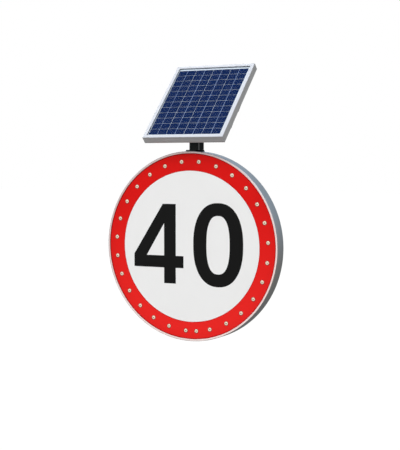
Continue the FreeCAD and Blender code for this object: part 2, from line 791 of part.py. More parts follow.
def post():
    """A square tube on the foot bracket, cut at the top to the panel's slope."""
    half = POST_WIDTH / 2
    span = (FOOT_TOP, FOOT_TOP + POST_RISE + POST_WIDTH)
    outer = block((-half, half), (POST_AXIS_Y - half, POST_AXIS_Y + half), span)
    corners = [
        Vector(side * half, POST_AXIS_Y + end * half, FOOT_TOP)
        for side in (-1, 1) for end in (-1, 1)
    ]
    outer = outer.makeChamfer(POST_CORNER, edges_near(outer, corners, UPWARD))
    room = half - POST_WALL
    bore = block((-room, room), (POST_AXIS_Y - room, POST_AXIS_Y + room), span)
    entry = flatted_bar(ENTRY_RADIUS, Vector(0, POST_AXIS_Y, entry_height()), ALONG_Y * half)
    tube = outer.cut(Part.makeCompound([bore, entry]))
    reach = 2 * (POST_RISE + POST_WIDTH)
    above = block((-reach, reach), (-reach, reach), (-BAR_THICKNESS - HEAD_THICKNESS, reach))
    return tube.cut(on_panel(above))


def on_panel(shape):
    """Moves a shape from the flat panel's frame to its place above the sign.

    In that frame X runs across the panel, Y up its slope from the lower edge, and Z out of
    its rear plane towards the glass."""
    shape.rotate(Vector(0, 0, 0), Vector(1, 0, 0), PANEL_TILT)
    slope = math.radians(PANEL_TILT)
    lower_y = POST_AXIS_Y - PANEL_SEAT * math.cos(slope)
    lower_z = FOOT_TOP + POST_RISE - PANEL_SEAT * math.sin(slope)
    shape.translate(Vector(0, lower_y, lower_z))
    return shape


def frame_section():
    """The frame's section as (inward, up) points: wall, rear flange, glass groove and lip.

    Two shallow flutes run along the outside."""
    groove_top = PANEL_THICKNESS - FRAME_WALL
    groove_foot = groove_top - FRAME_GROOVE
    shelf_foot = groove_foot - FRAME_WALL
    points = [
        (0, 0),
        (FRAME_FLANGE, 0),
        (FRAME_FLANGE, FRAME_WALL),
        (FRAME_WALL, FRAME_WALL),
        (FRAME_WALL, shelf_foot),
        (FRAME_LIP, shelf_foot),
        (FRAME_LIP, groove_foot),
        (FRAME_WALL, groove_foot),
        (FRAME_WALL, groove_top),
        (FRAME_LIP, groove_top),
        (FRAME_LIP, PANEL_THICKNESS),
        (0, PANEL_THICKNESS),
    ]
    for side in (1, -1):
        level = PANEL_THICKNESS / 2 + side * FLUTE_SPACING / 2
        points += [
            (0, level + FLUTE_WIDTH / 2),
            (FLUTE_DEPTH, level + FLUTE_WIDTH / 2),
            (FLUTE_DEPTH, level - FLUTE_WIDTH / 2),
            (0, level - FLUTE_WIDTH / 2),
        ]
    return points


def frame_rail(length):
    """One frame rail along X with its outside on Y = 0, mitred at both ends."""
    outline = [Vector(-length / 2, inward, up) for inward, up in frame_section()]
    rail = prism(outline, Vector(length, 0, 0))
    half, deep = length / 2, FRAME_FLANGE
    mitre = [(-half, 0), (half, 0), (half - deep, deep), (deep - half, deep)]
    corners = [Vector(x, y, 0) for x, y in mitre]
    return rail.common(prism(corners, UPWARD * PANEL_THICKNESS))


def frame_rails():
    """The four rails of the panel's frame, by name."""
    half_width = PANEL_WIDTH / 2
    middle = PANEL_LENGTH / 2
    places = {
        "frame_bottom": (PANEL_WIDTH, 0, Vector(0, 0, 0)),
        "frame_right": (PANEL_LENGTH, 1, Vector(half_width, middle, 0)),
        "frame_top": (PANEL_WIDTH, 2, Vector(0, PANEL_LENGTH, 0)),
        "frame_left": (PANEL_LENGTH, 3, Vector(-half_width, middle, 0)),
    }
    rails = {}
    for name, (length, quarters, place) in places.items():
        rail = frame_rail(length)
        rail.rotate(Vector(0, 0, 0), UPWARD, quarters * FULL_TURN / 4)
        rail.translate(place)
        rails[name] = on_panel(rail)
    return rails


def corner_keys():
    """Four angle pieces inside the frame's corners, between the rear flange and the shelf."""
    inset = FRAME_WALL + KEY_CLEARANCE
    angle = [
        (0, 0), (KEY_LEG, 0), (KEY_LEG, KEY_THICKNESS),
        (KEY_THICKNESS, KEY_THICKNESS), (KEY_THICKNESS, KEY_LEG), (0, KEY_LEG),
    ]
    keys = []
    for across in (-1, 1):
        for along in (-1, 1):
            corner_x = across * (PANEL_WIDTH / 2 - inset)
            corner_y = PANEL_LENGTH / 2 + along * (PANEL_LENGTH / 2 - inset)
            points = [Vector(corner_x - across * a, corner_y - along * b, inset) for a, b in angle]
            keys.append(prism(points, UPWARD * KEY_HEIGHT))
    return on_panel(Part.makeCompound(keys))


def laminate_layer(foot, top):
    """A full layer of the panel, held in the frame's groove."""
    inset = FRAME_WALL + LAMINATE_CLEARANCE
    half = PANEL_WIDTH / 2 - inset
    return block((-half, half), (inset, PANEL_LENGTH - inset), (foot, top))


def panel_glass():
    return on_panel(laminate_layer(GLASS_BACK, GLASS_FRONT))


def backsheet():
    return on_panel(laminate_layer(SHEET_BACK, CELLS_BACK))


def column_centres():
    """Centres of the cell columns, which lie a little to the left of the panel's middle."""
    first = -CELLS_TO_LEFT - CELL_PITCH_ACROSS * (CELL_COLUMNS - 1) / 2
    return [first + CELL_PITCH_ACROSS * i for i in range(CELL_COLUMNS)]


def solar_cells():
    """The cells as thin tiles in columns and rows, with a gap all round."""
    half_width = (CELL_PITCH_ACROSS - CELL_GAP) / 2
    half_length = (CELL_PITCH_ALONG - CELL_GAP) / 2
    tiles = []
    for x in column_centres():
        for row in range(CELL_ROWS):
            y = PANEL_LENGTH / 2 + CELL_PITCH_ALONG * (row - (CELL_ROWS - 1) / 2)
            tiles.append(block(
                (x - half_width, x + half_width),
                (y - half_length, y + half_length),
                (CELLS_BACK, CELLS_FRONT),
            ))
    return on_panel(Part.makeCompound(tiles))


def cell_ribbons():
    """The tinned ribbons that join the cells of each column, along their middles."""
    half_length = (CELL_PITCH_ALONG * CELL_ROWS - CELL_GAP) / 2
    middle = PANEL_LENGTH / 2
    ribbons = [
        block(
            (x - RIBBON_WIDTH / 2, x + RIBBON_WIDTH / 2),
            (middle - half_length, middle + half_length),
            (CELLS_FRONT, GLASS_BACK),
        )
        for x in column_centres()
    ]
    return on_panel(Part.makeCompound(ribbons))


def box_block(inset, foot, top):
    """A block in the junction box's outline with broken corners, drawn in by an inset."""
    half_width = BOX_WIDTH / 2 - inset
    half_length = BOX_LENGTH / 2 - inset
    shell = block(
        (-half_width, half_width),
        (BOX_SEAT - half_length, BOX_SEAT + half_length),
        (foot, top),
    )
    corners = [
        Vector(across * half_width, BOX_SEAT + along * half_length, foot)
        for across in (-1, 1) for along in (-1, 1)
    ]
    return shell.makeChamfer(BOX_CORNER - inset, edges_near(shell, corners, UPWARD))


def gland_face():
    """The point of the junction box's lower wall where the gland passes, in the panel's frame."""
    return Vector(0, BOX_SEAT - BOX_LENGTH / 2, SHEET_BACK - BOX_DEPTH / 2)


def junction_box():
    """An open tray moulded round the panel's terminals, closed by its lid from behind."""
    tray = box_block(0, SHEET_BACK - BOX_DEPTH, SHEET_BACK)
    room = box_block(BOX_WALL, SHEET_BACK - BOX_DEPTH, SHEET_BACK - BOX_WALL)
    hole = flatted_bar(GLAND_RADIUS + GLAND_CLEARANCE, gland_face(), ALONG_Y * 2 * BOX_WALL)
    return on_panel(tray.cut(Part.makeCompound([room, hole])))


def junction_lid():
    foot = SHEET_BACK - BOX_DEPTH - BOX_LID
    return on_panel(box_block(0, foot, foot + BOX_LID))


def cable_gland():
    """The gland in the junction box's lower wall: neck, hexagon and tapered cap, with its bore."""
    face = gland_face()
    neck_start = face + ALONG_Y * BOX_WALL
    neck = flatted_bar(GLAND_RADIUS, neck_start, AGAINST_Y * BOX_WALL)
    body = flatted_bar(GLAND_NUT_ACROSS / math.sqrt(3), face, AGAINST_Y * GLAND_NUT_LENGTH, 6)
    cap_start = face + AGAINST_Y * GLAND_NUT_LENGTH
    cap = frustum(
        GLAND_NUT_ACROSS / 2, GLAND_RADIUS, SHANK_SIDES, cap_start, AGAINST_Y * GLAND_CAP_LENGTH
    )
    total = BOX_WALL + GLAND_NUT_LENGTH + GLAND_CAP_LENGTH
    bore = flatted_bar(GLAND_BORE_RADIUS, neck_start, AGAINST_Y * total)
    return on_panel(neck.fuse([body, cap]).cut(bore))


def head_middle():
    """Where the post's axis meets the front of the head plate, up the panel's slope."""
    return PANEL_SEAT - BAR_THICKNESS * math.tan(math.radians(PANEL_TILT))


def cross_bar(side):
    """A flat bar across the frame's side rails, below or above the post's head."""
    half = PANEL_WIDTH / 2 - BAR_INSET
    middle = head_middle() + side * BAR_SPACING / 2
    span = (middle - BAR_WIDTH / 2, middle + BAR_WIDTH / 2)
    return on_panel(block((-half, half), span, (-BAR_THICKNESS, 0)))


def head_plate():
    """The plate on the post's slanted head that carries the cross bars, with cut corners."""
    half_width = HEAD_WIDTH / 2
    half_length = HEAD_LENGTH / 2
    foot = -BAR_THICKNESS - HEAD_THICKNESS
    span = (head_middle() - half_length, head_middle() + half_length)
    plate = block((-half_width, half_width), span, (foot, -BAR_THICKNESS))
    corners = [Vector(across * half_width, along, foot) for across in (-1, 1) for along in span]
    return on_panel(plate.makeChamfer(HEAD_CORNER, edges_near(plate, corners, UPWARD)))


def all_pieces():
    """Every piece of the sign, by its node's name."""
    pieces = {
        "housing_ring": housing_ring(),
        "hoop_joint_plate": hoop_joint_plate(),
        "face_plate": face_plate(),
        "white_sheeting": white_sheeting(),
        "red_border": red_border(),
        "digit_four": digit_four(),
        "digit_zero": digit_zero(),
        "back_cover": back_cover(),
        "cover_seal": cover_seal(),
        "battery_pack": battery_pack(),
        "battery_strap": battery_strap(),
        "controller_box": controller_box(),
        "duct_grommet": duct_grommet(),
        "rail_top": hat_rail(SHORT_RAIL_LENGTH, short_rail_height(), foot_bolt_places()),
        "clamp_bolts": clamp_bolts(),
        "foot_bolts": foot_bolts(),
        "hex_nuts": hex_nuts(),
        "foot_bracket": foot_bracket(),
        "post": post(),
        "post_grommet": post_grommet(),
        "head_plate": head_plate(),
        "cross_bar_lower": cross_bar(-1),
        "cross_bar_upper": cross_bar(1),
        "corner_keys": corner_keys(),
        "panel_glass": panel_glass(),
        "solar_cells": solar_cells(),
        "cell_ribbons": cell_ribbons(),
        "backsheet": backsheet(),
        "junction_box": junction_box(),
        "junction_lid": junction_lid(),
        "cable_gland": cable_gland(),
    }
    pieces.update(lamp_pieces())
    pieces.update(clamp_pieces())
    pieces.update(frame_rails())
    return pieces


os.makedirs("parts", exist_ok=True)
for name, shape in all_pieces().items():
    shape.translate(Vector(0, -POLE_Y, CLAMP_SPACING / 2))
    shape.exportStep("parts/" + name + ".step")
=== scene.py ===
from dataclasses import dataclass

import bmesh
import bpy
import numpy as np
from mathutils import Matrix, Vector

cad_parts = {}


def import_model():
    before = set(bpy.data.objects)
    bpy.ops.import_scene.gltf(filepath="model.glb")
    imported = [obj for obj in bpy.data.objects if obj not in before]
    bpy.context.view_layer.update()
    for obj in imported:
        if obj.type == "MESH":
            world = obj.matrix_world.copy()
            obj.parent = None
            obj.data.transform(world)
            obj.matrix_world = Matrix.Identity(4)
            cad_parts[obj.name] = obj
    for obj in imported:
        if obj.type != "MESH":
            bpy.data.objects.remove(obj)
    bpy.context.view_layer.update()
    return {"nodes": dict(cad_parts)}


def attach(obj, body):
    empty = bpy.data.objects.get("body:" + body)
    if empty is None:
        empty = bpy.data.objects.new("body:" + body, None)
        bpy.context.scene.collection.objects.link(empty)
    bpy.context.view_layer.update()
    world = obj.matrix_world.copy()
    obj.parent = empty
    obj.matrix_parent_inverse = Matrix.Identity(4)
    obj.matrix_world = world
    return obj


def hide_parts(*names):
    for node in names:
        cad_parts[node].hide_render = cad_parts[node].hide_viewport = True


# A round speed limit sign with a ring of small lamps and its own solar panel, dressed over its
# CAD frame. Shapes are in millimetres in the sign's own frame: X right, Y back from the rim's
# front plane, Z up, the face's centre at the origin. The panel's are made flat, Y up its slope
# and Z out of its glass, and then tilted and moved. Meshes are in metres in the part frame.

MM = 0.001
SIGN_TO_PART = np.array([0.0, -110.8, 150.0])
MIDDLE = (0, 0, 0)
BACKWARDS = (0, 1, 0)
FORWARDS = (0, -1, 0)
CREASE_ANGLE = 38.0

# Rim, face and cover
RIM_RADIUS = 300.0
RIM_DEPTH = 46.0
RIM_STEPS = 288
WALL_INNER_RADIUS = 298.0
LIP_INNER_RADIUS = 293.5
LIP_BACK = 1.8
FLANGE_INNER_RADIUS = 280.0
FLANGE_FRONT = 44.0
SLIT_WIDTH = 0.6
FILM_FRONT = 1.9
DIGIT_FRONT = 1.62
ZERO_MIDDLE = (97.8, 7.0)
COVER_FRONT = 47.2
COVER_BACK = 48.7
COVER_RADIUS = 299.0
COVER_EDGE = 0.6
SEAL_RADIUS = 292.0
SEAL_WIDTH = 10.0
COVER_SCREW_RADIUS = 289.5
COVER_SCREW_ANGLES = 30.0 * np.arange(12) + 15.0

# Lamps: each side has its own first angle and pitch, and one lamp closes the ring near the foot
RIGHT_ANGLES = 6.6 + 13.2 * np.arange(13)
LEFT_ANGLES = 353.6 - 13.1 * np.arange(14)
FOOT_ANGLE = 175.3
LAMP_CIRCLE_RADIUS = 268.0
LAMP_RADIUS = 5.75
BROW_RADIUS = 2.7
LENS_RADIUS = 1.9
BOARD_FRONT = 8.2
STEM_WIDTH = 5.6

# Rails and clamps
CROWN_BACK = 66.7
RAIL_SHEET = 2.0
RAIL_HEIGHTS = {"upper": 150.0, "lower": -150.0}
RAIL_LENGTH = 399.5
SHORT_RAIL_HEIGHT = 244.0
SHORT_RAIL_LENGTH = 150.0
RIVET_ROW = 33.6
RIVET_MARGIN = 14.0
POLE_Y = 110.8
CLAMP_RADIUS = 38.1
CLAMP_WIDTH = 40.0
CLAMP_SHEET = 4.0
SADDLE_BACK = 95.02
STRAP_FRONT = 117.02
STRAP_BACK = 121.02
EAR_REACH = 66.0
EAR_THICKNESS = 5.0
CLAMP_BOLT_X = 54.0

# Bolts and nuts
BOLT_RADIUS = 4.0
BOLT_PITCH = 1.25
BOLT_NECK = 8.6
BOLT_END = 5.0
FOOT_BOLT_REACH = 10.0
FOOT_BOLT_LENGTH = 10.5
NUT_HEIGHT = 6.5
NUT_ACROSS = 13.0
WASHER_THICKNESS = 1.2

# Post and bracket
FOOT_TOP = 304.0
BRACKET_SHEET = 4.0
BRACKET_FRONT = 7.0
BRACKET_FOOT = 222.0
POST_Y = 47.5
POST_WIDTH = 35.0
POST_WALL = 2.0
ENTRY_HEIGHT = 368.4
BEAD_RIPPLE = 2.6
BEAD_MARGIN = 2.0

# Panel, with the levels of what lies behind it
PANEL_TILT = np.radians(45.0)
PANEL_FOOT = np.array([0.0, -37.4942, 325.4058])
PANEL_WIDTH = 280.0
PANEL_LENGTH = 340.0
PANEL_THICKNESS = 25.0
BAR_PLACES = {"lower": 77.2, "upper": 153.2}
BAR_LENGTH = 274.0
BAR_WIDTH = 26.0
BAR_BACK = -5.0
HEAD_BACK = -9.0
HEAD_MIDDLE = 115.2
BOX_MIDDLE = 252.0
BOX_WIDTH = 70.0
BOX_LENGTH = 54.0
BOX_FOOT = 4.0
LID_THICKNESS = 2.0

# Stage and camera, in metres
FLOOR_WIDTH = 120.0
FLOOR_LEVEL = -1.35
CAMERA_PLACE = (1.59605, -3.19202, 0.40841)
CAMERA_VIEW = (-0.4510, 0.8908, -0.0548)


# Shapes

@dataclass
class Shape:
    """Points in millimetres, faces, pattern coordinates and finish numbers of a shape.

    Faces and their pattern come in blocks, each an array of faces with as many corners."""

    points: np.ndarray
    faces: list
    pattern: list
    coats: list

    def moved(self, change):
        """The same faces on points changed by a function of the points."""
        return Shape(change(self.points), self.faces, self.pattern, self.coats)

    def second_coat(self, sides, rows=1):
        """Puts the second finish on some sides of a section, along its first rows of faces."""
        self.coats[:rows * len(sides)] = np.tile(sides, rows).astype(int).tolist()


def joined(shapes):
    """Several shapes as one."""
    points, faces, pattern, coats = [], [], [], []
    start = 0
    for shape in shapes:
        points.append(shape.points)
        faces += [block + start for block in shape.faces]
        pattern += shape.pattern
        coats += shape.coats
        start += len(shape.points)
    return Shape(np.concatenate(points), faces, pattern, coats)


def along_grid(points, axis, ring):
    """Distance from the first row or column of a grid to each next one, in metres."""
    first = points[:1] if axis == 0 else points[:, :1]
    whole = np.concatenate([points, first], axis) if ring else points
    steps = np.linalg.norm(np.diff(whole, axis=axis), axis=2).max(1 - axis)
    return np.concatenate([[0.0], steps.cumsum()]) * MM


def surface(points, ring_rows=False, ring_columns=True, coat=0):
    """Four-sided faces over a (rows, columns, 3) grid. Its columns close into a ring unless told
    otherwise, and its rows where told; where they don't, a face closes each end.

    The pattern coordinates of a corner are its distances along the rows and the columns."""
    rows, columns = points.shape[:2]
    row_at = along_grid(points, 0, ring_rows)
    column_at = along_grid(points, 1, ring_columns)
    r, c = np.meshgrid(np.arange(len(row_at) - 1), np.arange(len(column_at) - 1), indexing="ij")
    r, c = r.ravel(), c.ravel()
    r2, c2 = (r + 1) % rows, (c + 1) % columns
    corners = [r * columns + c, r * columns + c2, r2 * columns + c2, r2 * columns + c]
    u = np.stack([row_at[r], row_at[r], row_at[r + 1], row_at[r + 1]], 1)
    v = np.stack([column_at[c], column_at[c + 1], column_at[c + 1], column_at[c]], 1)
    faces, pattern = [np.stack(corners, 1)], [np.stack([u, v], 2)]
    if not ring_rows:
        for row in (0, rows - 1):
            end = points[row]
            wide = np.argsort(np.ptp(end, axis=0))[1:]
            faces.append(row * columns + np.arange(columns)[None])
            pattern.append(end[None, :, wide] * MM)
    return Shape(points.reshape(-1, 3), faces, pattern, [coat] * sum(map(len, faces)))


def rounded(corners, radius, steps=4):
    """A closed outline with each corner P turned into an arc between A and C on its sides.

    The arc is the conic ((1-s)^2 A + 2 s (1-s) w P + s^2 C) / ((1-s)^2 + 2 s (1-s) w + s^2),
    where w is the sine of half the corner's inner angle."""
    corners = np.asarray(corners, float)
    back = np.roll(corners, 1, 0) - corners
    ahead = np.roll(corners, -1, 0) - corners
    back /= np.linalg.norm(back, axis=1)[:, None]
    ahead /= np.linalg.norm(ahead, axis=1)[:, None]
    half = np.arccos(np.clip((back * ahead).sum(1), -1, 1)) / 2
    reach = (np.asarray(radius) / np.tan(half))[:, None]
    s = np.linspace(0, 1, steps + 1)[None, :, None]
    weights = (1 - s) ** 2, 2 * s * (1 - s) * np.sin(half)[:, None, None], s ** 2
    ends = corners + back * reach, corners, corners + ahead * reach
    arc = sum(weight * end[:, None] for weight, end in zip(weights, ends))
    return (arc / sum(weights)).reshape(-1, 2)


def side_normals(run):
    """Unit vectors a quarter turn anticlockwise from each run."""
    return np.stack([-run[:, 1], run[:, 0]], 1) / np.linalg.norm(run, axis=1)[:, None]


def corner_push(before, after):
    """How a corner moves when the sides before and after it move by one along their normals:
    the sum of the two normals, times 2 over that sum's square."""
    total = before + after
    return total * 2 / (total ** 2).sum(1)[:, None]


def drawn_in(outline, insets):
    """A closed outline moved inwards by each inset."""
    following = np.roll(outline, -1, 0)
    area = (outline[:, 0] * following[:, 1] - following[:, 0] * outline[:, 1]).sum()
    normal = side_normals(following - outline) * np.sign(area)
    push = corner_push(np.roll(normal, 1, 0), normal)
    return outline[None] + np.asarray(insets)[:, None, None] * push[None]


def soft_prism(outline, axis, start, length, edge, steps=3, facing=1):
    """An outline carried straight along the x, y or z axis, with its end edges rounded. Its own
    two coordinates take the other two axes, in their order.

    Station t, from nought to a quarter turn, lies at e (1 - cos t) and is drawn in by
    e (1 - sin t); the far end mirrors it."""
    t = np.linspace(0, np.pi / 2, steps + 1)
    depth, inset = edge * (1 - np.cos(t)), edge * (1 - np.sin(t))
    depths = np.concatenate([depth, length - depth[::-1]])
    flat = drawn_in(np.asarray(outline, float), np.concatenate([inset, inset[::-1]]))
    places = [flat[..., 0], flat[..., 1]]
    levels = np.broadcast_to(start + facing * depths[:, None], flat.shape[:2])
    places.insert("xyz".index(axis), levels)
    return surface(np.stack(places, -1))


def rectangle(middle_a, middle_b, width, height):
    """Corners of a rectangle about a middle."""
    a, b = width / 2, height / 2
    return np.array([(middle_a - a, middle_b - b), (middle_a + a, middle_b - b),
                     (middle_a + a, middle_b + b), (middle_a - a, middle_b + b)])


def hexagon(middle_a, middle_b, across):
    """Corners of a hexagon, by its width across flats."""
    turn = np.radians(60.0 * np.arange(6) + 30.0)
    return np.stack([middle_a + across / np.sqrt(3) * np.cos(turn),
                     middle_b + across / np.sqrt(3) * np.sin(turn)], 1)


def mirrored(half):
    """Points on the right, and then the same on the left in the other order."""
    return half + [(-x, y) for x, y in reversed(half)]


def full_turn(steps):
    """Even angles once round, in radians."""
    return np.linspace(0, 2 * np.pi, steps, endpoint=False)


def spokes(axis, side, steps):
    """Unit vectors once round an axis, the first along side: cos angle side + sin angle other,
    where other is square to both."""
    side = side / np.linalg.norm(side)
    angle = full_turn(steps)[:, None]
    return np.cos(angle) * side + np.sin(angle) * np.cross(axis, side)


def turned(profile, centre, axis, steps=32, coat=0):
    """A profile of (radius r, height h) points turned once round an axis. The profile closes on
    itself unless it starts on the axis.

    Point = centre + h axis + r spoke."""
    axis = np.asarray(axis, float)
    side = np.cross(axis, [0.0, 0.0, 1.0] if abs(axis[2]) < 0.9 else [0.0, 1.0, 0.0])
    spoke = spokes(axis, side, steps)[:, None]
    profile = np.asarray(profile, float)
    points = np.asarray(centre, float) + profile[None, :, 1:] * axis + profile[None, :, :1] * spoke
    return surface(points, ring_rows=True, ring_columns=profile[0, 0] > 0, coat=coat)


def rod(start, axis, side, along, size, steps=20):
    """A rod whose size changes along it. Point = start + along axis + size spoke."""
    points = along[..., None] * axis + size[..., None] * spokes(axis, side, steps)
    return surface(np.asarray(start, float) + points)


def bow(outer, inner, foot, top, steps):
    """A quarter of an ellipse in a profile, from the outer radius at its foot to the inner one
    at its top."""
    t = np.linspace(0, np.pi / 2, steps + 1)
    return np.stack([inner + (outer - inner) * np.cos(t), foot + (top - foot) * np.sin(t)], 1)


def dome(radius, rise, skirt, steps):
    """Profile of a low dome on a short skirt, from its rim in to its top."""
    return [(0, 0), (radius, 0), *bow(radius, 0, skirt, skirt + rise, steps)]


def spun(a, b, turn):
    """Two coordinates turned anticlockwise about the origin."""
    return a * np.cos(turn) - b * np.sin(turn), a * np.sin(turn) + b * np.cos(turn)


def on_sign(angle, radius):
    """(x, z) at a clockwise angle in degrees from the top."""
    turn = np.radians(angle)
    return np.stack([radius * np.sin(turn), radius * np.cos(turn)], -1)


def on_panel(points):
    """Points of the flat panel's frame in the sign's: turned about X by the tilt, then moved."""
    y, z = spun(points[..., 1], points[..., 2], PANEL_TILT)
    return np.stack([points[..., 0], y, z], -1) + PANEL_FOOT


# The finishes, by name; a piece takes its finishes as materials in the order given
FINISHES = {}


def new_object(name, data):
    """An object in the scene, at the origin."""
    made = bpy.data.objects.new(name, data)
    bpy.context.scene.collection.objects.link(made)
    return made


def make_piece(name, shapes, finishes, *nodes):
    """One piece of the object, in place of the CAD nodes that it names: seams and poles merged,
    faces turned outwards, edges over the crease angle kept sharp."""
    whole = joined(shapes)
    mesh = bpy.data.meshes.new(name)
    faces = [face for block in whole.faces for face in block.tolist()]
    mesh.from_pydata((whole.points + SIGN_TO_PART) * MM, [], faces)
    pattern = np.concatenate([block.ravel() for block in whole.pattern])
    mesh.uv_layers.new(name="surface").data.foreach_set("uv", pattern)
    mesh.polygons.foreach_set("material_index", whole.coats)
    for finish in finishes.split():
        mesh.materials.append(FINISHES[finish])
    build = bmesh.new()
    build.from_mesh(mesh)
    bmesh.ops.remove_doubles(build, verts=build.verts, dist=2e-6)
    bmesh.ops.dissolve_degenerate(build, edges=build.edges, dist=1e-7)
    bmesh.ops.recalc_face_normals(build, faces=build.faces)
    build.to_mesh(mesh)
    build.free()
    mesh.shade_smooth()
    mesh.set_sharp_from_angle(angle=np.radians(CREASE_ANGLE))
    piece = new_object(name, mesh)
    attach(piece, "root")
    if nodes:
        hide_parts(*nodes)


def make_panel_piece(name, shapes, finishes, *nodes):
    """A piece whose shapes are worked out on the flat panel."""
    make_piece(name, [shape.moved(on_panel) for shape in shapes], finishes, *nodes)


# Nodes

class Nodes:
    """A node tree in the making, with short ways to add nodes and join them."""

    def __init__(self, tree):
        self.tree = tree

    def fill(self, node, **inputs):
        """Sets a node's inputs to values, or joins them to other nodes' outputs.

        In an input's name an underscore stands for a space, and i2 is the third input."""
        for name, value in inputs.items():
            target = node.inputs[int(name[1:]) if name[1:].isdigit() else name.replace("_", " ")]
            if isinstance(value, bpy.types.NodeSocket):
                self.tree.links.new(value, target)
            else:
                target.default_value = value
        return node

    def add(self, kind, operation=None, **inputs):
        """A node of a kind with its inputs filled."""
        node = self.tree.nodes.new("ShaderNode" + kind)
        if operation:
            node.operation = operation
        return self.fill(node, **inputs)

    def maths(self, operation, *values):
        """A sum of one kind on numbers or other nodes' outputs."""
        inputs = {"i%d" % i: value for i, value in enumerate(values)}
        return self.add("Math", operation, **inputs).outputs[0]

    def band(self, value, low, high, start=0.0, end=1.0):
        """start below low, end above high, and a smooth step between."""
        node = self.add("MapRange", Value=value, From_Min=low, From_Max=high,
                        To_Min=start, To_Max=end)
        node.interpolation_type = "SMOOTHSTEP"
        return node.outputs["Result"]

    def mix(self, mask, first, second):
        """A colour that goes from the first to the second with a mask."""
        tones = [tone if isinstance(tone, bpy.types.NodeSocket) else (*tone, 1.0)
                 for tone in (first, second)]
        node = self.add("Mix")
        node.data_type = "RGBA"
        return self.fill(node, i0=mask, i6=tones[0], i7=tones[1]).outputs[2]

    def stretched(self, place, scale, **moves):
        """Coordinates scaled, turned and shifted, for a pattern with its own direction."""
        return self.add("Mapping", Vector=place, Scale=scale, **moves).outputs["Vector"]


class Group(Nodes):
    """A shared node group: a place and named numbers go in, and named numbers come out."""

    def __init__(self, name, numbers, results):
        super().__init__(bpy.data.node_groups.new(name, "ShaderNodeTree"))
        new = self.tree.interface.new_socket
        new("Place", in_out="INPUT", socket_type="NodeSocketVector")
        for label, value in numbers.items():
            new(label, in_out="INPUT", socket_type="NodeSocketFloat").default_value = value
        for label in results:
            new(label, in_out="OUTPUT", socket_type="NodeSocketFloat")
        self.given = self.tree.nodes.new("NodeGroupInput").outputs
        self.place = self.given["Place"]
        self.result = self.tree.nodes.new("NodeGroupOutput")

    def noise(self, place, scale, **inputs):
        """Soft noise at a place."""
        return self.add("TexNoise", Vector=place, Scale=scale, **inputs).outputs["Fac"]

    def finished(self, **results):
        """The group's tree, with its results joined."""
        self.fill(self.result, **results)
        return self.tree


def grain_group():
    """Fine even grain: noise at a number of grains per metre, as a height and as a soft mask."""
    group = Group("fine_grain", {"Per metre": 900.0, "Contrast": 0.5}, ["Height", "Mask"])
    noise = group.noise(group.place, group.given["Per metre"], Detail=3.0, Roughness=0.55)
    spread = group.maths("MULTIPLY", group.given["Contrast"], group.maths("SUBTRACT", noise, 0.5))
    return group.finished(Height=noise, Mask=group.maths("ADD", spread, 0.5))


def drawn_group():
    """Drawn lines: noise that is long along the piece's rows and fine across them."""
    group = Group("drawn_lines", {"Lines per metre": 2500.0, "Length": 40.0}, ["Height", "Mask"])
    fine = group.given["Lines per metre"]
    size = group.add("CombineXYZ", X=group.given["Length"], Y=fine, Z=fine).outputs[0]
    place = group.add("VectorMath", "MULTIPLY", i0=group.place, i1=size).outputs[0]
    noise = group.noise(place, 1.0, Detail=2.0)
    return group.finished(Height=noise, Mask=group.band(noise, 0.3, 0.7))


def film_group():
    """Reflective film: small sealed cells with thin walls between them, seen on X and Z."""
    group = Group("film_cells", {"Cells per metre": 320.0, "Wall": 0.06},
                  ["Wall mask", "Shade", "Height"])
    flat = group.stretched(group.place, (1.0, 0.0, 1.0))
    cells = group.add("TexVoronoi", Vector=flat, Scale=group.given["Cells per metre"],
                      Randomness=0.18)
    cells.feature = "DISTANCE_TO_EDGE"
    wall = group.band(cells.outputs["Distance"], 0.0, group.given["Wall"], 1.0, 0.0)
    return group.finished(Wall_mask=wall, Shade=group.noise(flat, 9.0, Detail=3.0),
                          Height=group.maths("SUBTRACT", 1.0, wall))


def dust_group():
    """Light dust: soft clouds, laid on in faint upright runs."""
    group = Group("light_dust", {"Amount": 0.3}, ["Mask"])
    cloud = group.noise(group.place, 14.0, Detail=5.0)
    runs = group.noise(group.stretched(group.place, (60.0, 60.0, 3.0)), 1.0, Detail=2.0)
    total = group.maths("MULTIPLY", group.band(cloud, 0.35, 0.75),
                        group.band(runs, 0.3, 0.7, 0.5, 1.0))
    return group.finished(Mask=group.maths("MULTIPLY", total, group.given["Amount"]))


GROUPS = {}


def make_groups():
    """Fills the table of shared node groups."""
    GROUPS.update(grain=grain_group(), drawn=drawn_group(), film=film_group(), dust=dust_group())


# Finishes

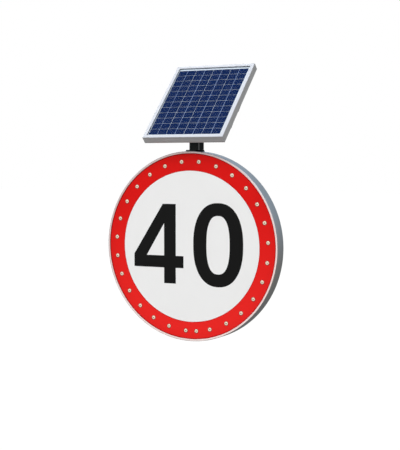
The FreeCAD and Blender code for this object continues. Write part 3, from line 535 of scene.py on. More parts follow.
class Finish(Nodes):
    """A material in the making."""

    def __init__(self, name, color, roughness, metallic=0.0, specular=0.5, **inputs):
        self.material = bpy.data.materials.new(name)
        self.material.use_nodes = True
        super().__init__(self.material.node_tree)
        self.shader = self.tree.nodes["Principled BSDF"]
        self.color = color
        self.feed(Base_Color=(*color, 1.0), Roughness=roughness, Metallic=metallic,
                  Specular_IOR_Level=specular, **inputs)

    def feed(self, **inputs):
        """Fills the shader's own inputs."""
        self.fill(self.shader, **inputs)

    def place(self):
        """Object coordinates, which are the part frame's metres."""
        return self.add("TexCoord").outputs["Object"]

    def own(self):
        """The piece's own pattern coordinates, in metres along its rows and columns."""
        node = self.add("UVMap")
        node.uv_map = "surface"
        return node.outputs["UV"]

    def group(self, name, place=None, **inputs):
        """The outputs of a shared node group, placed with its own values."""
        node = self.add("Group")
        node.node_tree = GROUPS[name]
        return self.fill(node, Place=place or self.place(), **inputs).outputs

    def dusted(self, mask, share, amount):
        """A share of a mask, with an amount of light dust added."""
        dust = self.group("dust", Amount=amount)["Mask"]
        return self.maths("ADD", self.maths("MULTIPLY", mask, share), dust)

    def tint(self, mask, other):
        """Base colour that goes to another colour with a mask."""
        tone = self.mix(mask, self.color, other)
        self.feed(Base_Color=tone)
        return tone

    def roughen(self, height, low, high, smoothest, roughest):
        """Roughness that rises with a height."""
        self.feed(Roughness=self.band(height, low, high, smoothest, roughest))

    def bump(self, height, distance):
        """Relief from a height, in metres."""
        node = self.add("Bump", Height=height, Strength=1.0, Distance=distance)
        self.feed(Normal=node.outputs["Normal"])


def drawn_metal(name, color, roughness, metallic, per_metre, length, depth=0.00002, own=True,
                painted_shade=(), **inputs):
    """Aluminium or steel with fine drawn lines, and a roughness that follows them.

    Each painted shade entry is a colour, a direction, and the two distances along it, in metres,
    between which the metal turns to that colour: painted shade, darker where less light falls."""
    finish = Finish(name, color, roughness, metallic, **inputs)
    lines = finish.group("drawn", finish.own() if own else None, Lines_per_metre=per_metre,
                         Length=length)
    tone = finish.tint(finish.dusted(lines["Mask"], 0.5, 0.25), [0.88 * c for c in color])
    for tint, direction, start, end in painted_shade:
        along = finish.add("VectorMath", "DOT_PRODUCT", i0=finish.place(), i1=direction)
        tone = finish.mix(finish.band(along.outputs["Value"], start, end), tone, tint)
        finish.feed(Base_Color=tone)
    finish.roughen(lines["Height"], 0.2, 0.8, roughness - 0.05, roughness + 0.08)
    finish.bump(lines["Height"], depth)
    return finish.material


def coated(name, color, roughness, per_metre=1400.0, depth=0.00003, lighter=1.5, **inputs):
    """Powder coat or moulded plastic: an even fine grain, with a touch of dust."""
    finish = Finish(name, color, roughness, **inputs)
    grain = finish.group("grain", Contrast=1.4, Per_metre=per_metre)
    finish.tint(finish.dusted(grain["Mask"], 0.3, 0.3), [min(c * lighter, 1.0) for c in color])
    finish.roughen(grain["Mask"], 0.2, 0.8, roughness - 0.06, roughness + 0.06)
    finish.bump(grain["Height"], depth)
    return finish.material


def film(name, color, wall_color, roughness, shade=0.9, specular=0.12):
    """Cut reflective film with its cell pattern. The finish keeps its mixed colour as tinted, so
    that more can be laid over it."""
    finish = Finish(name, color, roughness, specular=specular)
    cells = finish.group("film")
    cloud = finish.maths("MULTIPLY", finish.band(cells["Shade"], 0.3, 0.75), 0.5)
    soft = finish.mix(cloud, color, [c * shade for c in color])
    finish.tinted = finish.mix(finish.maths("MULTIPLY", cells["Wall mask"], 0.5), soft, wall_color)
    finish.feed(Base_Color=finish.tinted)
    finish.roughen(cells["Shade"], 0.3, 0.7, roughness - 0.05, roughness + 0.05)
    finish.bump(cells["Height"], 0.00001)
    return finish


def border_film():
    """The red film: brighter towards the foot by painted light, darker outwards by painted shade,
    and darker along its cut edges.

    Heights and radii are in metres."""
    finish = film("red_film", (0.745, 0.0105, 0.009), (0.67, 0.009, 0.008), 0.42, specular=0.03)
    height = finish.add("SeparateXYZ", Vector=finish.place()).outputs["Z"]
    # Painted light: the red turns brighter towards the foot, away from the shade at the top.
    painted_light_below = finish.band(height, -0.12, 0.33, 0.85, 0.0)
    red = finish.mix(painted_light_below, finish.tinted, (0.88, 0.0245, 0.0210))
    face_height = float(SIGN_TO_PART[2]) * MM
    flat = finish.stretched(finish.place(), (1.0, 0.0, 1.0), Location=(0.0, 0.0, -face_height))
    radius = finish.add("VectorMath", "LENGTH", i0=flat).outputs["Value"]
    inner = finish.band(radius, 0.2388, 0.2414, 1.0, 0.0)
    outer = finish.band(radius, 0.2900, 0.2917)
    edge = finish.maths("MULTIPLY", finish.maths("ADD", inner, outer), 0.75)
    # Painted shade: the red darkens outwards towards the lip.
    edge = finish.maths("ADD", edge, finish.band(radius, 0.262, 0.290, 0.0, 0.10))
    finish.feed(Base_Color=finish.mix(edge, red, (0.34, 0.006, 0.006)))
    return finish.material


def silicon():
    """Cell silicon: crystals of several blues under fine printed fingers across each cell."""
    finish = Finish("solar_silicon", (0.0050, 0.0200, 0.092), 0.36, specular=0.0)
    back_turn = (-float(PANEL_TILT), 0.0, 0.0)
    flat = finish.stretched(finish.place(), (1.0, 1.0, 1.0), Rotation=back_turn)
    parts = []
    for scale, channel, share in ((230.0, 0, 0.4), (60.0, 1, 0.6)):
        crystals = finish.add("TexVoronoi", Vector=flat, Scale=scale, Randomness=1.0)
        tones = finish.add("SeparateColor", Color=crystals.outputs["Color"]).outputs
        parts.append(finish.maths("MULTIPLY", tones[channel], share))
    mixed = finish.maths("ADD", *parts)
    blue = finish.tint(mixed, (0.0058, 0.0234, 0.111))
    across = finish.add("SeparateXYZ", Vector=flat).outputs["X"]
    wave = finish.maths("FRACT", finish.maths("MULTIPLY", across, 520.0))
    wave = finish.maths("ABSOLUTE", finish.maths("SUBTRACT", wave, 0.5))
    finger = finish.maths("MULTIPLY", finish.band(wave, 0.06, 0.11, 1.0, 0.0), 0.02)
    finish.feed(Base_Color=finish.mix(finger, blue, (0.45, 0.52, 0.66)))
    finish.roughen(mixed, 0.0, 1.0, 0.26, 0.4)
    finish.bump(mixed, 0.00002)
    return finish.material


def cover_glass():
    """Thin solar glass with an anti-glare surface: nearly clear, with a faint cool sheen."""
    finish = Finish("panel_glass", (0.01, 0.015, 0.03), 0.22, Alpha=0.06, specular=0.5)
    grain = finish.group("grain", Per_metre=1500.0)
    finish.roughen(grain["Mask"], 0.2, 0.8, 0.16, 0.3)
    finish.bump(grain["Height"], 0.00001)
    return finish.material


def lamp_lens():
    """The unlit lens of a lamp."""
    finish = Finish("lamp_lens", (0.19, 0.155, 0.11), 0.18, specular=0.4)
    finish.tint(finish.group("grain", Per_metre=1800.0)["Mask"], (0.28, 0.23, 0.17))
    return finish.material


def make_finishes():
    """Fills the table of finishes."""
    FINISHES.update({
        # Painted reflection and shade: the rim's blue-grey tone stands in for reflected light, and
        # it turns darker at the foot and at the top under the panel, where shade falls.
        "rim": drawn_metal("rim_satin", (0.315, 0.366, 0.418), 0.42, 0.85, 900.0, 6.0,
                           painted_shade=[((0.207, 0.200, 0.188), (0.0, 0.0, -1.0), -0.31, -0.06),
                                   ((0.13, 0.15, 0.17), (0.0, 0.0, 1.0), 0.375, 0.43)],
                           specular=0.0, Specular_Tint=(0.40, 0.43, 0.47, 1.0)),
        # Painted light, reflection and shade: the lip is the paler, lit copy of the rim's
        # aluminium, pink from a painted reflection of the red film, and darker towards the upper
        # left by painted shade.
        "lip": drawn_metal("lip_satin", (0.89, 0.72, 0.695), 0.40, 0.08, 1200.0, 6.0,
                           painted_shade=[((0.64, 0.49, 0.475), (-0.5, 0.0, 0.87), 0.05, 0.42)],
                           specular=0.35),
        "sheet": drawn_metal("sheet_mill", (0.47, 0.48, 0.49), 0.42, 0.55, 700.0, 9.0, own=False),
        "rail": drawn_metal("rail_mill", (0.42, 0.43, 0.44), 0.38, 0.6, 900.0, 12.0),
        "clamp": drawn_metal("clamp_satin", (0.36, 0.37, 0.38), 0.40, 0.6, 1400.0, 20.0),
        # Painted light and shade: one anodised aluminium, in a lit copy for the frame's front lip
        # and a shaded copy for its walls.
        "frame": drawn_metal("frame_lip", (0.655, 0.685, 0.75), 0.40, 0.05, 1500.0, 7.0,
                             depth=0.000015, specular=0.3),
        "frame_wall": drawn_metal("frame_anodised", (0.34, 0.343, 0.347), 0.42, 0.58, 1500.0, 7.0,
                                  depth=0.000015, specular=0.15),
        "steel": coated("plated_steel", (0.46, 0.465, 0.46), 0.32, per_metre=800.0, depth=0.00001,
                        lighter=1.2, metallic=0.85),
        "white": film("white_film", (0.895, 0.89, 0.885), (0.78, 0.79, 0.80), 0.45,
                      shade=0.965).material,
        "red": border_film(),
        "black": film("black_film", (0.006, 0.006, 0.006), (0.009, 0.009, 0.009), 0.5, shade=1.3,
                      specular=0.045).material,
        "paint": coated("black_powder", (0.046, 0.050, 0.051), 0.6, lighter=1.3, specular=0.0),
        # Painted highlight: a paler, glossier copy of the black powder coat, for the post's rounded
        # corners.
        "paint_edge": coated("worn_powder", (0.17, 0.18, 0.18), 0.36, lighter=1.2, specular=0.8),
        "plastic": coated("moulded_black", (0.02, 0.02, 0.021), 0.45, per_metre=2200.0),
        "rubber": coated("seal_rubber", (0.012, 0.012, 0.012), 0.75, per_metre=1800.0, lighter=1.6),
        "foam": coated("seal_foam", (0.02, 0.02, 0.02), 0.9, per_metre=700.0, depth=0.0001,
                       lighter=2.0),
        "board": coated("board_lacquer", (0.015, 0.11, 0.045), 0.35, per_metre=500.0,
                        depth=0.00001, lighter=1.4),
        "wrap": coated("battery_wrap", (0.02, 0.09, 0.34), 0.35, per_metre=120.0, depth=0.0002,
                       lighter=1.4),
        "silicon": silicon(),
        "glass": cover_glass(),
        "ribbon": coated("tinned_ribbon", (0.37, 0.50, 0.80), 0.4, per_metre=900.0, depth=0.00001,
                         lighter=1.25, metallic=0.3),
        "backsheet": coated("white_backsheet", (0.77, 0.87, 0.98), 0.5, per_metre=1200.0,
                            lighter=1.04),
        "bezel": coated("lamp_bezel", (0.86, 0.70, 0.53), 0.35, per_metre=2500.0, depth=0.000005,
                        lighter=1.1),
        "lens": lamp_lens(),
        # Painted shadow: the dark red ring round each lamp's bezel stands for the shade that the
        # bezel casts on the film.
        "seal": coated("lamp_seal", (0.20, 0.012, 0.012), 0.6, per_metre=2500.0, depth=0.000005),
    })


# The CAD nodes that stay as they are, by their finish
CAD_FINISHES = {
    "sheet": ["face_plate", "hoop_joint_plate", "corner_keys"],
    "white": ["white_sheeting"], "red": ["red_border"], "black": ["digit_four"],
    "board": ["led_board_%d" % i for i in (1, 2, 3, 4)],
    "wrap": ["battery_pack"], "steel": ["battery_strap"], "plastic": ["controller_box"],
    "rubber": ["duct_grommet"], "glass": ["panel_glass"], "silicon": ["solar_cells"],
    "ribbon": ["cell_ribbons"], "backsheet": ["backsheet"],
}


def dress_nodes(nodes):
    """Gives the CAD nodes that stay their finishes."""
    for finish, names in CAD_FINISHES.items():
        for name in names:
            piece = nodes[name]
            if not piece.material_slots:
                piece.data.materials.append(None)
            for slot in piece.material_slots:
                slot.material = FINISHES[finish]


# Housing

def rim_hoop():
    """The rolled hoop: its rounded section carried round the sign from one side of the slit
    to the other. The lip's front, up to where its outer edge rounds, has a paler copy of the hoop's
    aluminium as painted light; the rest of the hoop is the darker, shaded copy."""
    corners = [(LIP_INNER_RADIUS, 0), (RIM_RADIUS, 0), (RIM_RADIUS, RIM_DEPTH),
               (FLANGE_INNER_RADIUS, RIM_DEPTH), (FLANGE_INNER_RADIUS, FLANGE_FRONT),
               (WALL_INNER_RADIUS, FLANGE_FRONT), (WALL_INNER_RADIUS, LIP_BACK),
               (LIP_INNER_RADIUS, LIP_BACK)]
    section = rounded(corners, [0.6, 1.2, 2.0, 0.6, 0.6, 0.5, 0.5, 0.6], steps=5)
    half_slit = np.degrees(SLIT_WIDTH / 2 / RIM_RADIUS)
    angle = np.linspace(180 + half_slit, 540 - half_slit, 361)
    spoke = on_sign(angle, 1.0)
    points = np.stack([
        spoke[:, None, 0] * section[None, :, 0],
        np.broadcast_to(section[None, :, 1], (len(angle), len(section))),
        spoke[:, None, 1] * section[None, :, 0],
    ], -1)
    hoop = surface(points)
    # The lip's front takes the paler, lit copy of the hoop's aluminium: painted light.
    on_lip = (section[:, 1] < 0.35) & (section[:, 0] < RIM_RADIUS - 1.0)
    hoop.second_coat(on_lip & np.roll(on_lip, -1), len(angle) - 1)
    make_piece("rim_hoop", [hoop], "rim lip", "housing_ring")


def cover_pieces():
    """The rear cover with a rolled edge, its foam seal and its ring of pan-head screws."""
    edge = bow(COVER_RADIUS, COVER_RADIUS - COVER_EDGE, COVER_BACK - COVER_EDGE, COVER_BACK, 4)
    profile = [(0, COVER_FRONT), (COVER_RADIUS, COVER_FRONT), *edge, (0, COVER_BACK)]
    cover = turned(profile, MIDDLE, BACKWARDS, RIM_STEPS)
    make_piece("rear_cover", [cover], "sheet", "back_cover")
    section = rectangle(SEAL_RADIUS, (RIM_DEPTH + COVER_FRONT) / 2,
                        SEAL_WIDTH, COVER_FRONT - RIM_DEPTH)
    seal = turned(rounded(section, 0.3, 3), MIDDLE, BACKWARDS, RIM_STEPS)
    make_piece("foam_seal", [seal], "foam", "cover_seal")
    heads = []
    for x, z in on_sign(COVER_SCREW_ANGLES, COVER_SCREW_RADIUS):
        centre = (x, COVER_BACK, z)
        heads += [turned(dome(5.0, 0.3, 0.7, 3), centre, BACKWARDS, 24),
                  recessed_head(centre, BACKWARDS, 3.6, 1.0, 1.7)]
    make_piece("cover_screws", heads, "steel")


def recessed_head(centre, axis, radius, foot, rise):
    """A pan head with a round recess in its top."""
    top, floor = foot + rise, foot + rise * 0.35
    profile = [(0, foot), (radius, foot), *bow(radius, radius * 0.62, floor, top, 4),
               (radius * 0.42, top), (radius * 0.40, floor), (0, floor)]
    return turned(profile, centre, axis, 24)


# Lamps

def lamp_shapes(angle):
    """One lamp: a bezel that falls away from its lens, the lens, a dark red ring round the bezel as
    its painted shadow, and the stem.
    """
    x, z = on_sign(angle, LAMP_CIRCLE_RADIUS)
    centre = (x, FILM_FRONT, z)
    bezel = [(0, 0.02), (LAMP_RADIUS, 0.02), *bow(LAMP_RADIUS, BROW_RADIUS, 0.25, 1.4, 5),
             (2.15, 1.35), (2.0, 0.7), (0, 0.7)]
    lens = [(0, 0.6), (LENS_RADIUS, 0.6), *bow(LENS_RADIUS, 0, 0.95, 1.67, 5)]
    # A dark ring round the bezel: a painted shadow.
    ring = rounded(rectangle(6.45, 0.15, 1.9, 0.26), 0.1, steps=2)
    corners = spun(*rectangle(0, 0, STEM_WIDTH, STEM_WIDTH).T, -np.radians(angle))
    outline = rounded(np.stack(corners, 1) + (x, z), 0.4, 2)
    stem = soft_prism(outline, "y", FILM_FRONT, BOARD_FRONT - FILM_FRONT, 0.2, 1)
    return [turned(bezel, centre, FORWARDS),
            turned(lens, centre, FORWARDS, 24, coat=1),
            turned(ring, centre, FORWARDS, coat=2), stem]


def lamps():
    """The four groups of seven lamps, clockwise from the top."""
    angles = np.concatenate([RIGHT_ANGLES, [FOOT_ANGLE], LEFT_ANGLES[::-1]]).reshape(4, 7)
    for i, seven in enumerate(angles):
        shapes = [shape for angle in seven for shape in lamp_shapes(angle)]
        make_piece("lamps_%d" % (i + 1), shapes, "bezel lens seal", "led_lamps_%d" % (i + 1))


def digit_zero():
    """A plain 0: the film between two squared ovals.

    A point of an oval is (a |cos t|^(2/p), b |sin t|^(2/p)), with the signs of cos t and sin t."""
    t = full_turn(192)

    def oval(width, height, power):
        x, z = [np.sign(wave) * np.abs(wave) ** (2 / power) for wave in (np.cos(t), np.sin(t))]
        return np.stack([x * width / 2, z * height / 2], 1) + ZERO_MIDDLE

    outer, inner = oval(173.0, 262.6, 2.3), oval(80.4, 182.6, 2.5)
    loops = [(outer, FILM_FRONT), (outer, DIGIT_FRONT), (inner, DIGIT_FRONT), (inner, FILM_FRONT)]
    points = np.stack([np.stack([o[:, 0], np.full(len(o), y), o[:, 1]], 1) for o, y in loops], 1)
    make_piece("digit_0", [surface(points, ring_rows=True)], "black", "digit_zero")


# Rails, clamps and their fasteners

def folded(path, thickness, radius):
    """The closed outline of a sheet folded along a path, with round folds.

    Each side of the sheet is the path moved half a thickness along its mean normals."""
    path = np.asarray(path, float)
    run = np.diff(path, axis=0)
    normal = side_normals(run)
    push = corner_push(np.concatenate([normal[:1], normal]), np.concatenate([normal, normal[-1:]]))
    left, right = path + push * thickness / 2, path - push * thickness / 2
    bend = np.sign(np.concatenate([[0], run[:-1, 0] * run[1:, 1] - run[:-1, 1] * run[1:, 0], [0]]))
    left_radius = np.where(bend > 0, radius, radius + thickness)
    right_radius = np.where(bend < 0, radius, radius + thickness)
    left_radius[[0, -1]] = right_radius[[0, -1]] = 0.3
    return rounded(np.concatenate([left, right[::-1]]),
                   np.concatenate([left_radius, right_radius[::-1]]))


def hat_rail(length, height):
    """A hat-section rail across the cover's back. The path is its sheet's middle."""
    foot, crown = COVER_BACK + RAIL_SHEET / 2, CROWN_BACK - RAIL_SHEET / 2
    path = [(foot, -38), (foot, -28), (crown, -21), (crown, 21), (foot, 28), (foot, 38)]
    outline = folded([(y, z + height) for y, z in path], RAIL_SHEET, 1.2)
    return soft_prism(outline, "x", -length / 2, length, 0.3, 2)


def rivet(x, z):
    """The round head of a blind rivet with its stub of mandrel, facing back on a rail's foot."""
    profile = [*dome(4.4, 0.9, 0.5, 4)[:-1], (1.3, 1.4), (1.2, 1.1), (0, 1.1)]
    return turned(profile, (x, COVER_BACK + RAIL_SHEET, z), BACKWARDS, 20)


def rails():
    """The three rails, each with two rows of rivets through its feet."""
    for name, height in dict(RAIL_HEIGHTS, top=SHORT_RAIL_HEIGHT).items():
        length, count = (SHORT_RAIL_LENGTH, 3) if name == "top" else (RAIL_LENGTH, 5)
        make_piece("rail_%s_sheet" % name, [hat_rail(length, height)], "rail", "rail_" + name)
        reach = length / 2 - RIVET_MARGIN
        heads = [rivet(x, height + side * RIVET_ROW)
                 for x in np.linspace(-reach, reach, count) for side in (-1, 1)]
        make_piece("rail_%s_rivets" % name, heads, "sheet")


def saddle(height):
    """The front half of a clamp, with its section's corners eased."""
    ear_front = SADDLE_BACK - EAR_THICKNESS
    facet = CLAMP_RADIUS * np.tan(np.pi / 8)
    half = [(33, CROWN_BACK), (45, ear_front), (EAR_REACH, ear_front), (EAR_REACH, SADDLE_BACK),
            (CLAMP_RADIUS, SADDLE_BACK), (facet, POLE_Y - CLAMP_RADIUS)]
    radii = [1.0, 3.0, 1.5, 1.5, 1.0, 2.0]
    outline = rounded(mirrored(half), radii + radii[::-1])
    return soft_prism(outline, "z", height - CLAMP_WIDTH / 2, CLAMP_WIDTH, 0.5)


def yoke(height):
    """The rear half of a clamp: eased flats outside, two ears, and a round seat.

    The seat is an arc of the pole's radius, from one ear's front to the other's."""
    outer = CLAMP_RADIUS + CLAMP_SHEET
    facet = outer * np.tan(np.pi / 8)
    half = [(EAR_REACH, STRAP_FRONT), (EAR_REACH, STRAP_BACK), (outer, STRAP_BACK),
            (outer, POLE_Y + facet), (facet, POLE_Y + outer)]
    radii = [1.2, 1.5, 2.5, 6.0, 6.0]
    outside = rounded(mirrored(half), radii + radii[::-1], steps=5)
    start = np.arcsin((STRAP_FRONT - POLE_Y) / CLAMP_RADIUS)
    turn = np.linspace(np.pi - start, start, 41)
    seat = np.stack([CLAMP_RADIUS * np.cos(turn), POLE_Y + CLAMP_RADIUS * np.sin(turn)], 1)
    outline = np.concatenate([outside, seat])
    return soft_prism(outline, "z", height - CLAMP_WIDTH / 2, CLAMP_WIDTH, 0.4)


def threaded(start, axis, length):
    """A threaded rod: its radius falls by a cosine that winds once round in each pitch."""
    along = np.linspace(0, length, int(length / BOLT_PITCH * 5) + 1)[:, None]
    winding = 0.5 + 0.5 * np.cos(2 * np.pi * along / BOLT_PITCH - full_turn(20))
    size = np.minimum(BOLT_RADIUS - 0.6 * winding, BOLT_RADIUS - 1.0 + (length - along))
    return rod(start, np.asarray(axis, float), (1, 0, 0), along, size)


def round_bolt(x, z, seat, length):
    """A round-headed bolt in a rail's crown: its head on a seat, a square neck from there to the
    crown's back, and the thread beyond."""
    facing = 1 if seat > CROWN_BACK else -1
    front, back = min(seat, CROWN_BACK), max(seat, CROWN_BACK)
    neck = rounded(rectangle(x, z, BOLT_NECK, BOLT_NECK), 0.5, 2)
    return [turned(dome(9.0, 3.6, 0.4, 8), (x, seat, z), (0, facing, 0), 36),
            soft_prism(neck, "y", front, back - front, 0.2, 1),
            threaded((x, CROWN_BACK, z), (0, -facing, 0), length)]


def nut(x, z, seat, facing):
    """A hexagon nut with eased ends, on a thin round washer, facing back or forward."""
    washer = rounded(rectangle(6.2, 0.6, 4.0, WASHER_THICKNESS), 0.3, steps=2)
    outline = rounded(hexagon(x, z, NUT_ACROSS), 0.5, 2)
    return [turned(washer, (x, seat, z), (0, facing, 0), 28),
            soft_prism(outline, "y", seat + facing * WASHER_THICKNESS,
                       NUT_HEIGHT - WASHER_THICKNESS, 0.9, facing=facing)]


def clamps():
    """Both clamps with their bolts and nuts, and the two bolts at the bracket."""
    crown_front = CROWN_BACK - RAIL_SHEET
    long, short, nuts = [], [], []
    for name, height in RAIL_HEIGHTS.items():
        make_piece(name + "_saddle", [saddle(height)], "clamp", name + "_clamp_saddle")
        make_piece(name + "_yoke", [yoke(height)], "clamp", name + "_clamp_strap")
        for x in (-CLAMP_BOLT_X, CLAMP_BOLT_X):
            length = STRAP_BACK + NUT_HEIGHT + BOLT_END - CROWN_BACK
            long += round_bolt(x, height, crown_front, length)
            nuts += nut(x, height, STRAP_BACK, 1)
    make_piece("long_bolts", long, "steel", "clamp_bolts")
    for z in (SHORT_RAIL_HEIGHT - FOOT_BOLT_REACH, SHORT_RAIL_HEIGHT + FOOT_BOLT_REACH):
        short += round_bolt(0, z, CROWN_BACK + BRACKET_SHEET, FOOT_BOLT_LENGTH)
        nuts += nut(0, z, crown_front, -1)
    make_piece("bracket_bolts", short, "steel", "foot_bolts")
    make_piece("nuts_and_washers", nuts, "steel", "hex_nuts")


# Post and its bracket

def bead(start, end, radius):
    """A weld bead between two points: a round section that swells and thins along its length.

    The radius at distance s is r (1 + 0.12 sin(2 pi s / ripple)), and nought at both ends."""
    start, end = np.asarray(start, float), np.asarray(end, float)
    length = np.linalg.norm(end - start)
    axis = (end - start) / length
    along = np.linspace(0, length, int(length / BEAD_RIPPLE * 8) + 1)[:, None]
    size = radius * (1 + 0.12 * np.sin(2 * np.pi * along / BEAD_RIPPLE))
    size = size * np.sqrt(np.clip(1 - (2 * along / length - 1) ** 12, 0.0, 1))
    return rod(start, axis, np.cross(axis, [0.2, 0.3, 0.93]), along, size, 14)


def head_height(y):
    """Height of the plane through the head plate's back at a depth y:
    the panel's foot + (y - its depth) tan tilt + the plate's back / cos tilt."""
    rise = (y - PANEL_FOOT[1]) * np.tan(PANEL_TILT)
    return PANEL_FOOT[2] + rise + HEAD_BACK / np.cos(PANEL_TILT)


def post_tube():
    """The square tube with round corners, which carry a painted highlight: foot square, head cut to
    the panel's slope.
    """
    room = POST_WIDTH - 2 * POST_WALL
    outer = rounded(rectangle(0, POST_Y, POST_WIDTH, POST_WIDTH), 1.6)
    inner = rounded(rectangle(0, POST_Y, room, room), 0.6)
    foot = np.full(len(outer), FOOT_TOP)
    loops = [(outer, foot), (outer, head_height(outer[:, 1])),
             (inner, head_height(inner[:, 1])), (inner, foot)]
    tube = surface(np.stack([np.column_stack(loop) for loop in loops]), ring_rows=True)
    # The corner arcs take the paler coat: a painted highlight along the edges.
    tube.second_coat(np.arange(len(outer)) % 5 < 4)
    return tube


def up_slope(y):
    """How far up the panel's slope the head plate's rear face passes a depth."""
    return (y - PANEL_FOOT[1] + HEAD_BACK * np.sin(PANEL_TILT)) / np.cos(PANEL_TILT)


def post_welds():
    """The beads at the post's foot and round its slanted head."""
    half, reach = POST_WIDTH / 2, POST_WIDTH / 2 - BEAD_MARGIN
    depths = POST_Y - half, POST_Y + half
    low, high = up_slope(depths[0]), up_slope(depths[1])
    around = [((-reach, y, HEAD_BACK), (reach, y, HEAD_BACK)) for y in (low, high)]
    around += [((x, low + BEAD_MARGIN, HEAD_BACK), (x, high - BEAD_MARGIN, HEAD_BACK))
               for x in (-half, half)]
    welds = [bead((-reach, y, FOOT_TOP), (reach, y, FOOT_TOP), 1.6) for y in depths]
    return welds + [bead(start, end, 2.0).moved(on_panel) for start, end in around]


def post_pieces():
    """Post, bracket, welds, head plate, cross bars and the rubber grommet."""
    make_piece("square_post", [post_tube()], "paint paint_edge", "post")
    level, leg = FOOT_TOP - BRACKET_SHEET / 2, CROWN_BACK + BRACKET_SHEET / 2
    path = [(BRACKET_FRONT, level), (leg, level), (leg, BRACKET_FOOT)]
    bracket = soft_prism(folded(path, BRACKET_SHEET, 2.0), "x", -POST_WIDTH / 2, POST_WIDTH, 0.5)
    make_piece("folded_bracket", [bracket], "paint", "foot_bracket")
    make_piece("post_welds", post_welds(), "paint")
    wide, high, cut = 46.0, 54.0, 10.0
    low_half = [(-wide, cut - high), (cut - wide, -high), (wide - cut, -high), (wide, cut - high)]
    corners = np.array(low_half + [(x, -y) for x, y in reversed(low_half)]) + (0, HEAD_MIDDLE)
    plate = soft_prism(rounded(corners, 2.0), "z", HEAD_BACK, BAR_BACK - HEAD_BACK, 0.5)
    make_panel_piece("slanted_head_plate", [plate], "paint", "head_plate")
    for name, middle in BAR_PLACES.items():
        outline = rounded(rectangle(0, middle, BAR_LENGTH, BAR_WIDTH), 2.0)
        bar = soft_prism(outline, "z", BAR_BACK, -BAR_BACK, 0.5)
        make_panel_piece("flat_bar_" + name, [bar], "paint", "cross_bar_" + name)
    bore, waist, flange, front, rear = 3.5, 6.3, 9.0, -1.5, POST_WALL + 1.5
    lip = rounded([(bore, front), (flange, front), (flange, 0.0), (waist, 0.0), (waist, POST_WALL),
                   (flange, POST_WALL), (flange, rear), (bore, rear)],
                  [0.7, 0.7, 0.3, 0.3, 0.3, 0.3, 0.7, 0.7], steps=3)
    entry = (0, POST_Y + POST_WIDTH / 2 - POST_WALL, ENTRY_HEIGHT)
    make_piece("entry_grommet", [turned(lip, entry, BACKWARDS, 40)], "rubber", "post_grommet")


# Solar panel

def frame_bar(length, quarters, place):
    """One mitred rail of the frame: its section carried between two slanted ends.

    A section point that lies d inwards runs from -(L/2 - d) to L/2 - d. The rail is then turned by
    quarters of a turn and moved to its side of the panel. The front lip has a paler, lit copy of
    the frame's one anodised finish, down its inner edge and over the rounded outer one: painted
    light, with the walls as the darker, shaded copy."""
    foot, lip, wall, floor = 20.0, 11.5, 1.6, 18.8
    groove = PANEL_THICKNESS - wall
    corners = [(0, 0), (foot, 0), (foot, wall), (wall, wall), (wall, floor - wall),
               (lip, floor - wall), (lip, floor), (wall, floor), (wall, groove), (lip, groove),
               (lip, PANEL_THICKNESS), (0, PANEL_THICKNESS)]
    for top in (16.0, 10.6):
        corners += [(0, top), (0.5, top - 0.4), (0.5, top - 1.2), (0, top - 1.6)]
    radii = [0.7, 0.3, 0.3, 0.3, 0.3, 0.2, 0.2, 0.3, 0.3, 0.2, 0.5, 0.9] + [0.15] * 8
    section = rounded(corners, radii)
    share = np.array([-1.0, 1.0])[:, None]
    x = share * (length / 2 - 0.06 - section[None, :, 0])
    y = np.broadcast_to(section[None, :, 0], x.shape)
    z = np.broadcast_to(section[None, :, 1], x.shape)
    x, y = spun(x, y, quarters * np.pi / 2)
    rail = surface(np.stack([x + place[0], y + place[1], z], -1))
    # The lip's faces take the lit copy of the frame's finish: painted light.
    on_lip = section[:, 1] > PANEL_THICKNESS - np.where(section[:, 0] > 8.0, 1.7, 1.2)
    rail.second_coat(on_lip & np.roll(on_lip, -1))
    return rail


def small_bolt(x, y, level):
    """A hexagon head on its washer behind the panel, facing away from the glass."""
    washer = rounded(rectangle(4.6, 0.5, 3.4, 1.0), 0.2, steps=2)
    outline = rounded(hexagon(x, y, 10.0), 0.4, 2)
    return [turned(washer, (x, y, level), (0, 0, -1), 24),
            soft_prism(outline, "z", level - 1.0, 3.0, 0.7, facing=-1)]


def panel_pieces():
    """Frame and bolts of the panel."""
    sides = {
        "bottom": (PANEL_WIDTH, 0, (0.0, 0.0)),
        "right": (PANEL_LENGTH, 1, (PANEL_WIDTH / 2, PANEL_LENGTH / 2)),
        "top": (PANEL_WIDTH, 2, (0.0, PANEL_LENGTH)),
        "left": (PANEL_LENGTH, 3, (-PANEL_WIDTH / 2, PANEL_LENGTH / 2)),
    }
    for name, side in sides.items():
        make_panel_piece("frame_%s_bar" % name, [frame_bar(*side)], "frame_wall frame",
                         "frame_" + name)
    bolts = []
    for middle in BAR_PLACES.values():
        for reach, level in ((130.0, BAR_BACK), (34.0, HEAD_BACK)):
            bolts += small_bolt(-reach, middle, level) + small_bolt(reach, middle, level)
    make_panel_piece("panel_bolts", bolts, "steel")


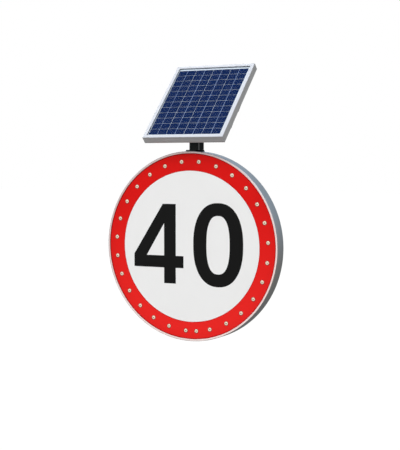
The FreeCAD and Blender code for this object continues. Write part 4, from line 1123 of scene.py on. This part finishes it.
def box_pieces():
    """The junction box with its lid and four screws, and the cable gland."""
    outline = rounded(rectangle(0, BOX_MIDDLE, BOX_WIDTH, BOX_LENGTH), 3.5, steps=6)
    box = soft_prism(outline, "z", BOX_FOOT + LID_THICKNESS, 12.9, 0.4)
    make_panel_piece("terminal_box", [box], "plastic", "junction_box")
    lid = soft_prism(outline, "z", BOX_FOOT, LID_THICKNESS - 0.05, 0.6, 4)
    outline = rounded(rectangle(0, BOX_MIDDLE, 50, 30), 3.0, 5)
    raised = soft_prism(outline, "z", BOX_FOOT - 0.05, 0.4, 0.2)
    make_panel_piece("terminal_lid", [lid, raised], "plastic", "junction_lid")
    screws = [recessed_head((x, BOX_MIDDLE + y, BOX_FOOT + 0.3), (0, 0, -1), 2.4, 0.0, 0.3)
              for x in (-30.0, 30.0) for y in (-22.0, 22.0)]
    make_panel_piece("lid_screws", screws, "steel")
    face, level = BOX_MIDDLE - BOX_LENGTH / 2, BOX_FOOT + 8.45
    gland = []
    for across, start, length in ((10.4, face, 3.4), (10.0, face - 3.8, 4.2)):
        outline = rounded(hexagon(0, level, across), 0.5, 2)
        gland.append(soft_prism(outline, "y", start, length, 0.5, facing=-1))
    cap = rounded([(2.2, 7.6), (5.0, 7.6), (4.8, 10.5), (3.4, 14.0), (2.2, 14.0)],
                  [0.2, 0.3, 1.5, 0.6, 0.3])
    gland.append(turned(cap, (0, face, level), FORWARDS))
    make_panel_piece("gland", gland, "plastic", "cable_gland")


# Stage, light and camera

def seen_rays(nodes):
    """One for camera, glossy and transmission rays, which see the background, and else nought."""
    path = nodes.add("LightPath").outputs
    mirrored_rays = nodes.maths("MAXIMUM", path["Is Glossy Ray"], path["Is Transmission Ray"])
    return nodes.maths("MAXIMUM", path["Is Camera Ray"], mirrored_rays)


def studio_world():
    """A soft pale surround that lights the object, and shows as plain white."""
    world = bpy.data.worlds.new("studio")
    bpy.context.scene.world = world
    world.use_nodes = True
    world.node_tree.nodes.clear()
    nodes = Nodes(world.node_tree)
    soft = nodes.add("Background", Color=(0.93, 0.97, 1.0, 1.0), Strength=0.24)
    plain = nodes.add("Background", Color=(1.0, 1.0, 1.0, 1.0), Strength=1.0)
    mix = nodes.add("MixShader", i0=seen_rays(nodes), i1=soft.outputs[0], i2=plain.outputs[0])
    nodes.add("OutputWorld", Surface=mix.outputs[0])


def studio_floor():
    """A wide pale floor well below the hanging sign, bright to the eye, and shaded by the sign."""
    mesh = bpy.data.meshes.new("floor")
    corners = rectangle(0, 0, FLOOR_WIDTH, FLOOR_WIDTH)
    ground = [(*corner, FLOOR_LEVEL) for corner in corners]
    mesh.from_pydata(ground, [], [(0, 1, 2, 3)])
    floor = new_object("floor", mesh)
    pale = Finish("pale_floor", (0.19, 0.187, 0.18), 0.9, specular=0.0,
                  Emission_Color=(1.0, 1.0, 1.0, 1.0))
    pale.feed(Emission_Strength=pale.maths("MULTIPLY", seen_rays(pale), 0.82))
    mesh.materials.append(pale.material)


def aimed(name, data, place, axis, direction):
    """A light or camera at a place, with an axis of its own along a direction."""
    holder = new_object(name, data)
    holder.location = place
    holder.rotation_mode = "QUATERNION"
    holder.rotation_quaternion = Vector(direction).to_track_quat(axis, "Y")
    return holder


def soft_sun(name, towards, strength, spread):
    """An even soft light from a direction, spread over an angle in degrees."""
    sun = bpy.data.lights.new(name, "SUN")
    sun.energy = strength * np.pi
    sun.angle = float(np.radians(spread))
    aimed(name, sun, Vector(towards) * 4.0, "Z", towards)


def studio_lamps():
    """A soft key from above in front, a weak low fill in front, and a soft light behind."""
    soft_sun("key", (0.10, -0.70, 0.70), 0.76, 40.0)
    soft_sun("front_fill", (-0.15, -0.98, 0.12), 0.27, 60.0)
    soft_sun("rear_fill", (-0.45, 0.70, 0.55), 0.60, 45.0)


def photo_camera():
    """The camera at the photograph's viewpoint, a little to the right and above."""
    data = bpy.data.cameras.new("photo_camera")
    data.lens = 88.3
    data.sensor_width = 36.0
    bpy.context.scene.camera = aimed("photo_camera", data, CAMERA_PLACE, "-Z", CAMERA_VIEW)


def main():
    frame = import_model()
    bpy.context.scene.view_settings.view_transform = "Standard"
    studio_world()
    studio_floor()
    studio_lamps()
    photo_camera()
    make_groups()
    make_finishes()
    dress_nodes(frame["nodes"])
    rim_hoop()
    cover_pieces()
    lamps()
    digit_zero()
    rails()
    clamps()
    post_pieces()
    panel_pieces()
    box_pieces()


main()
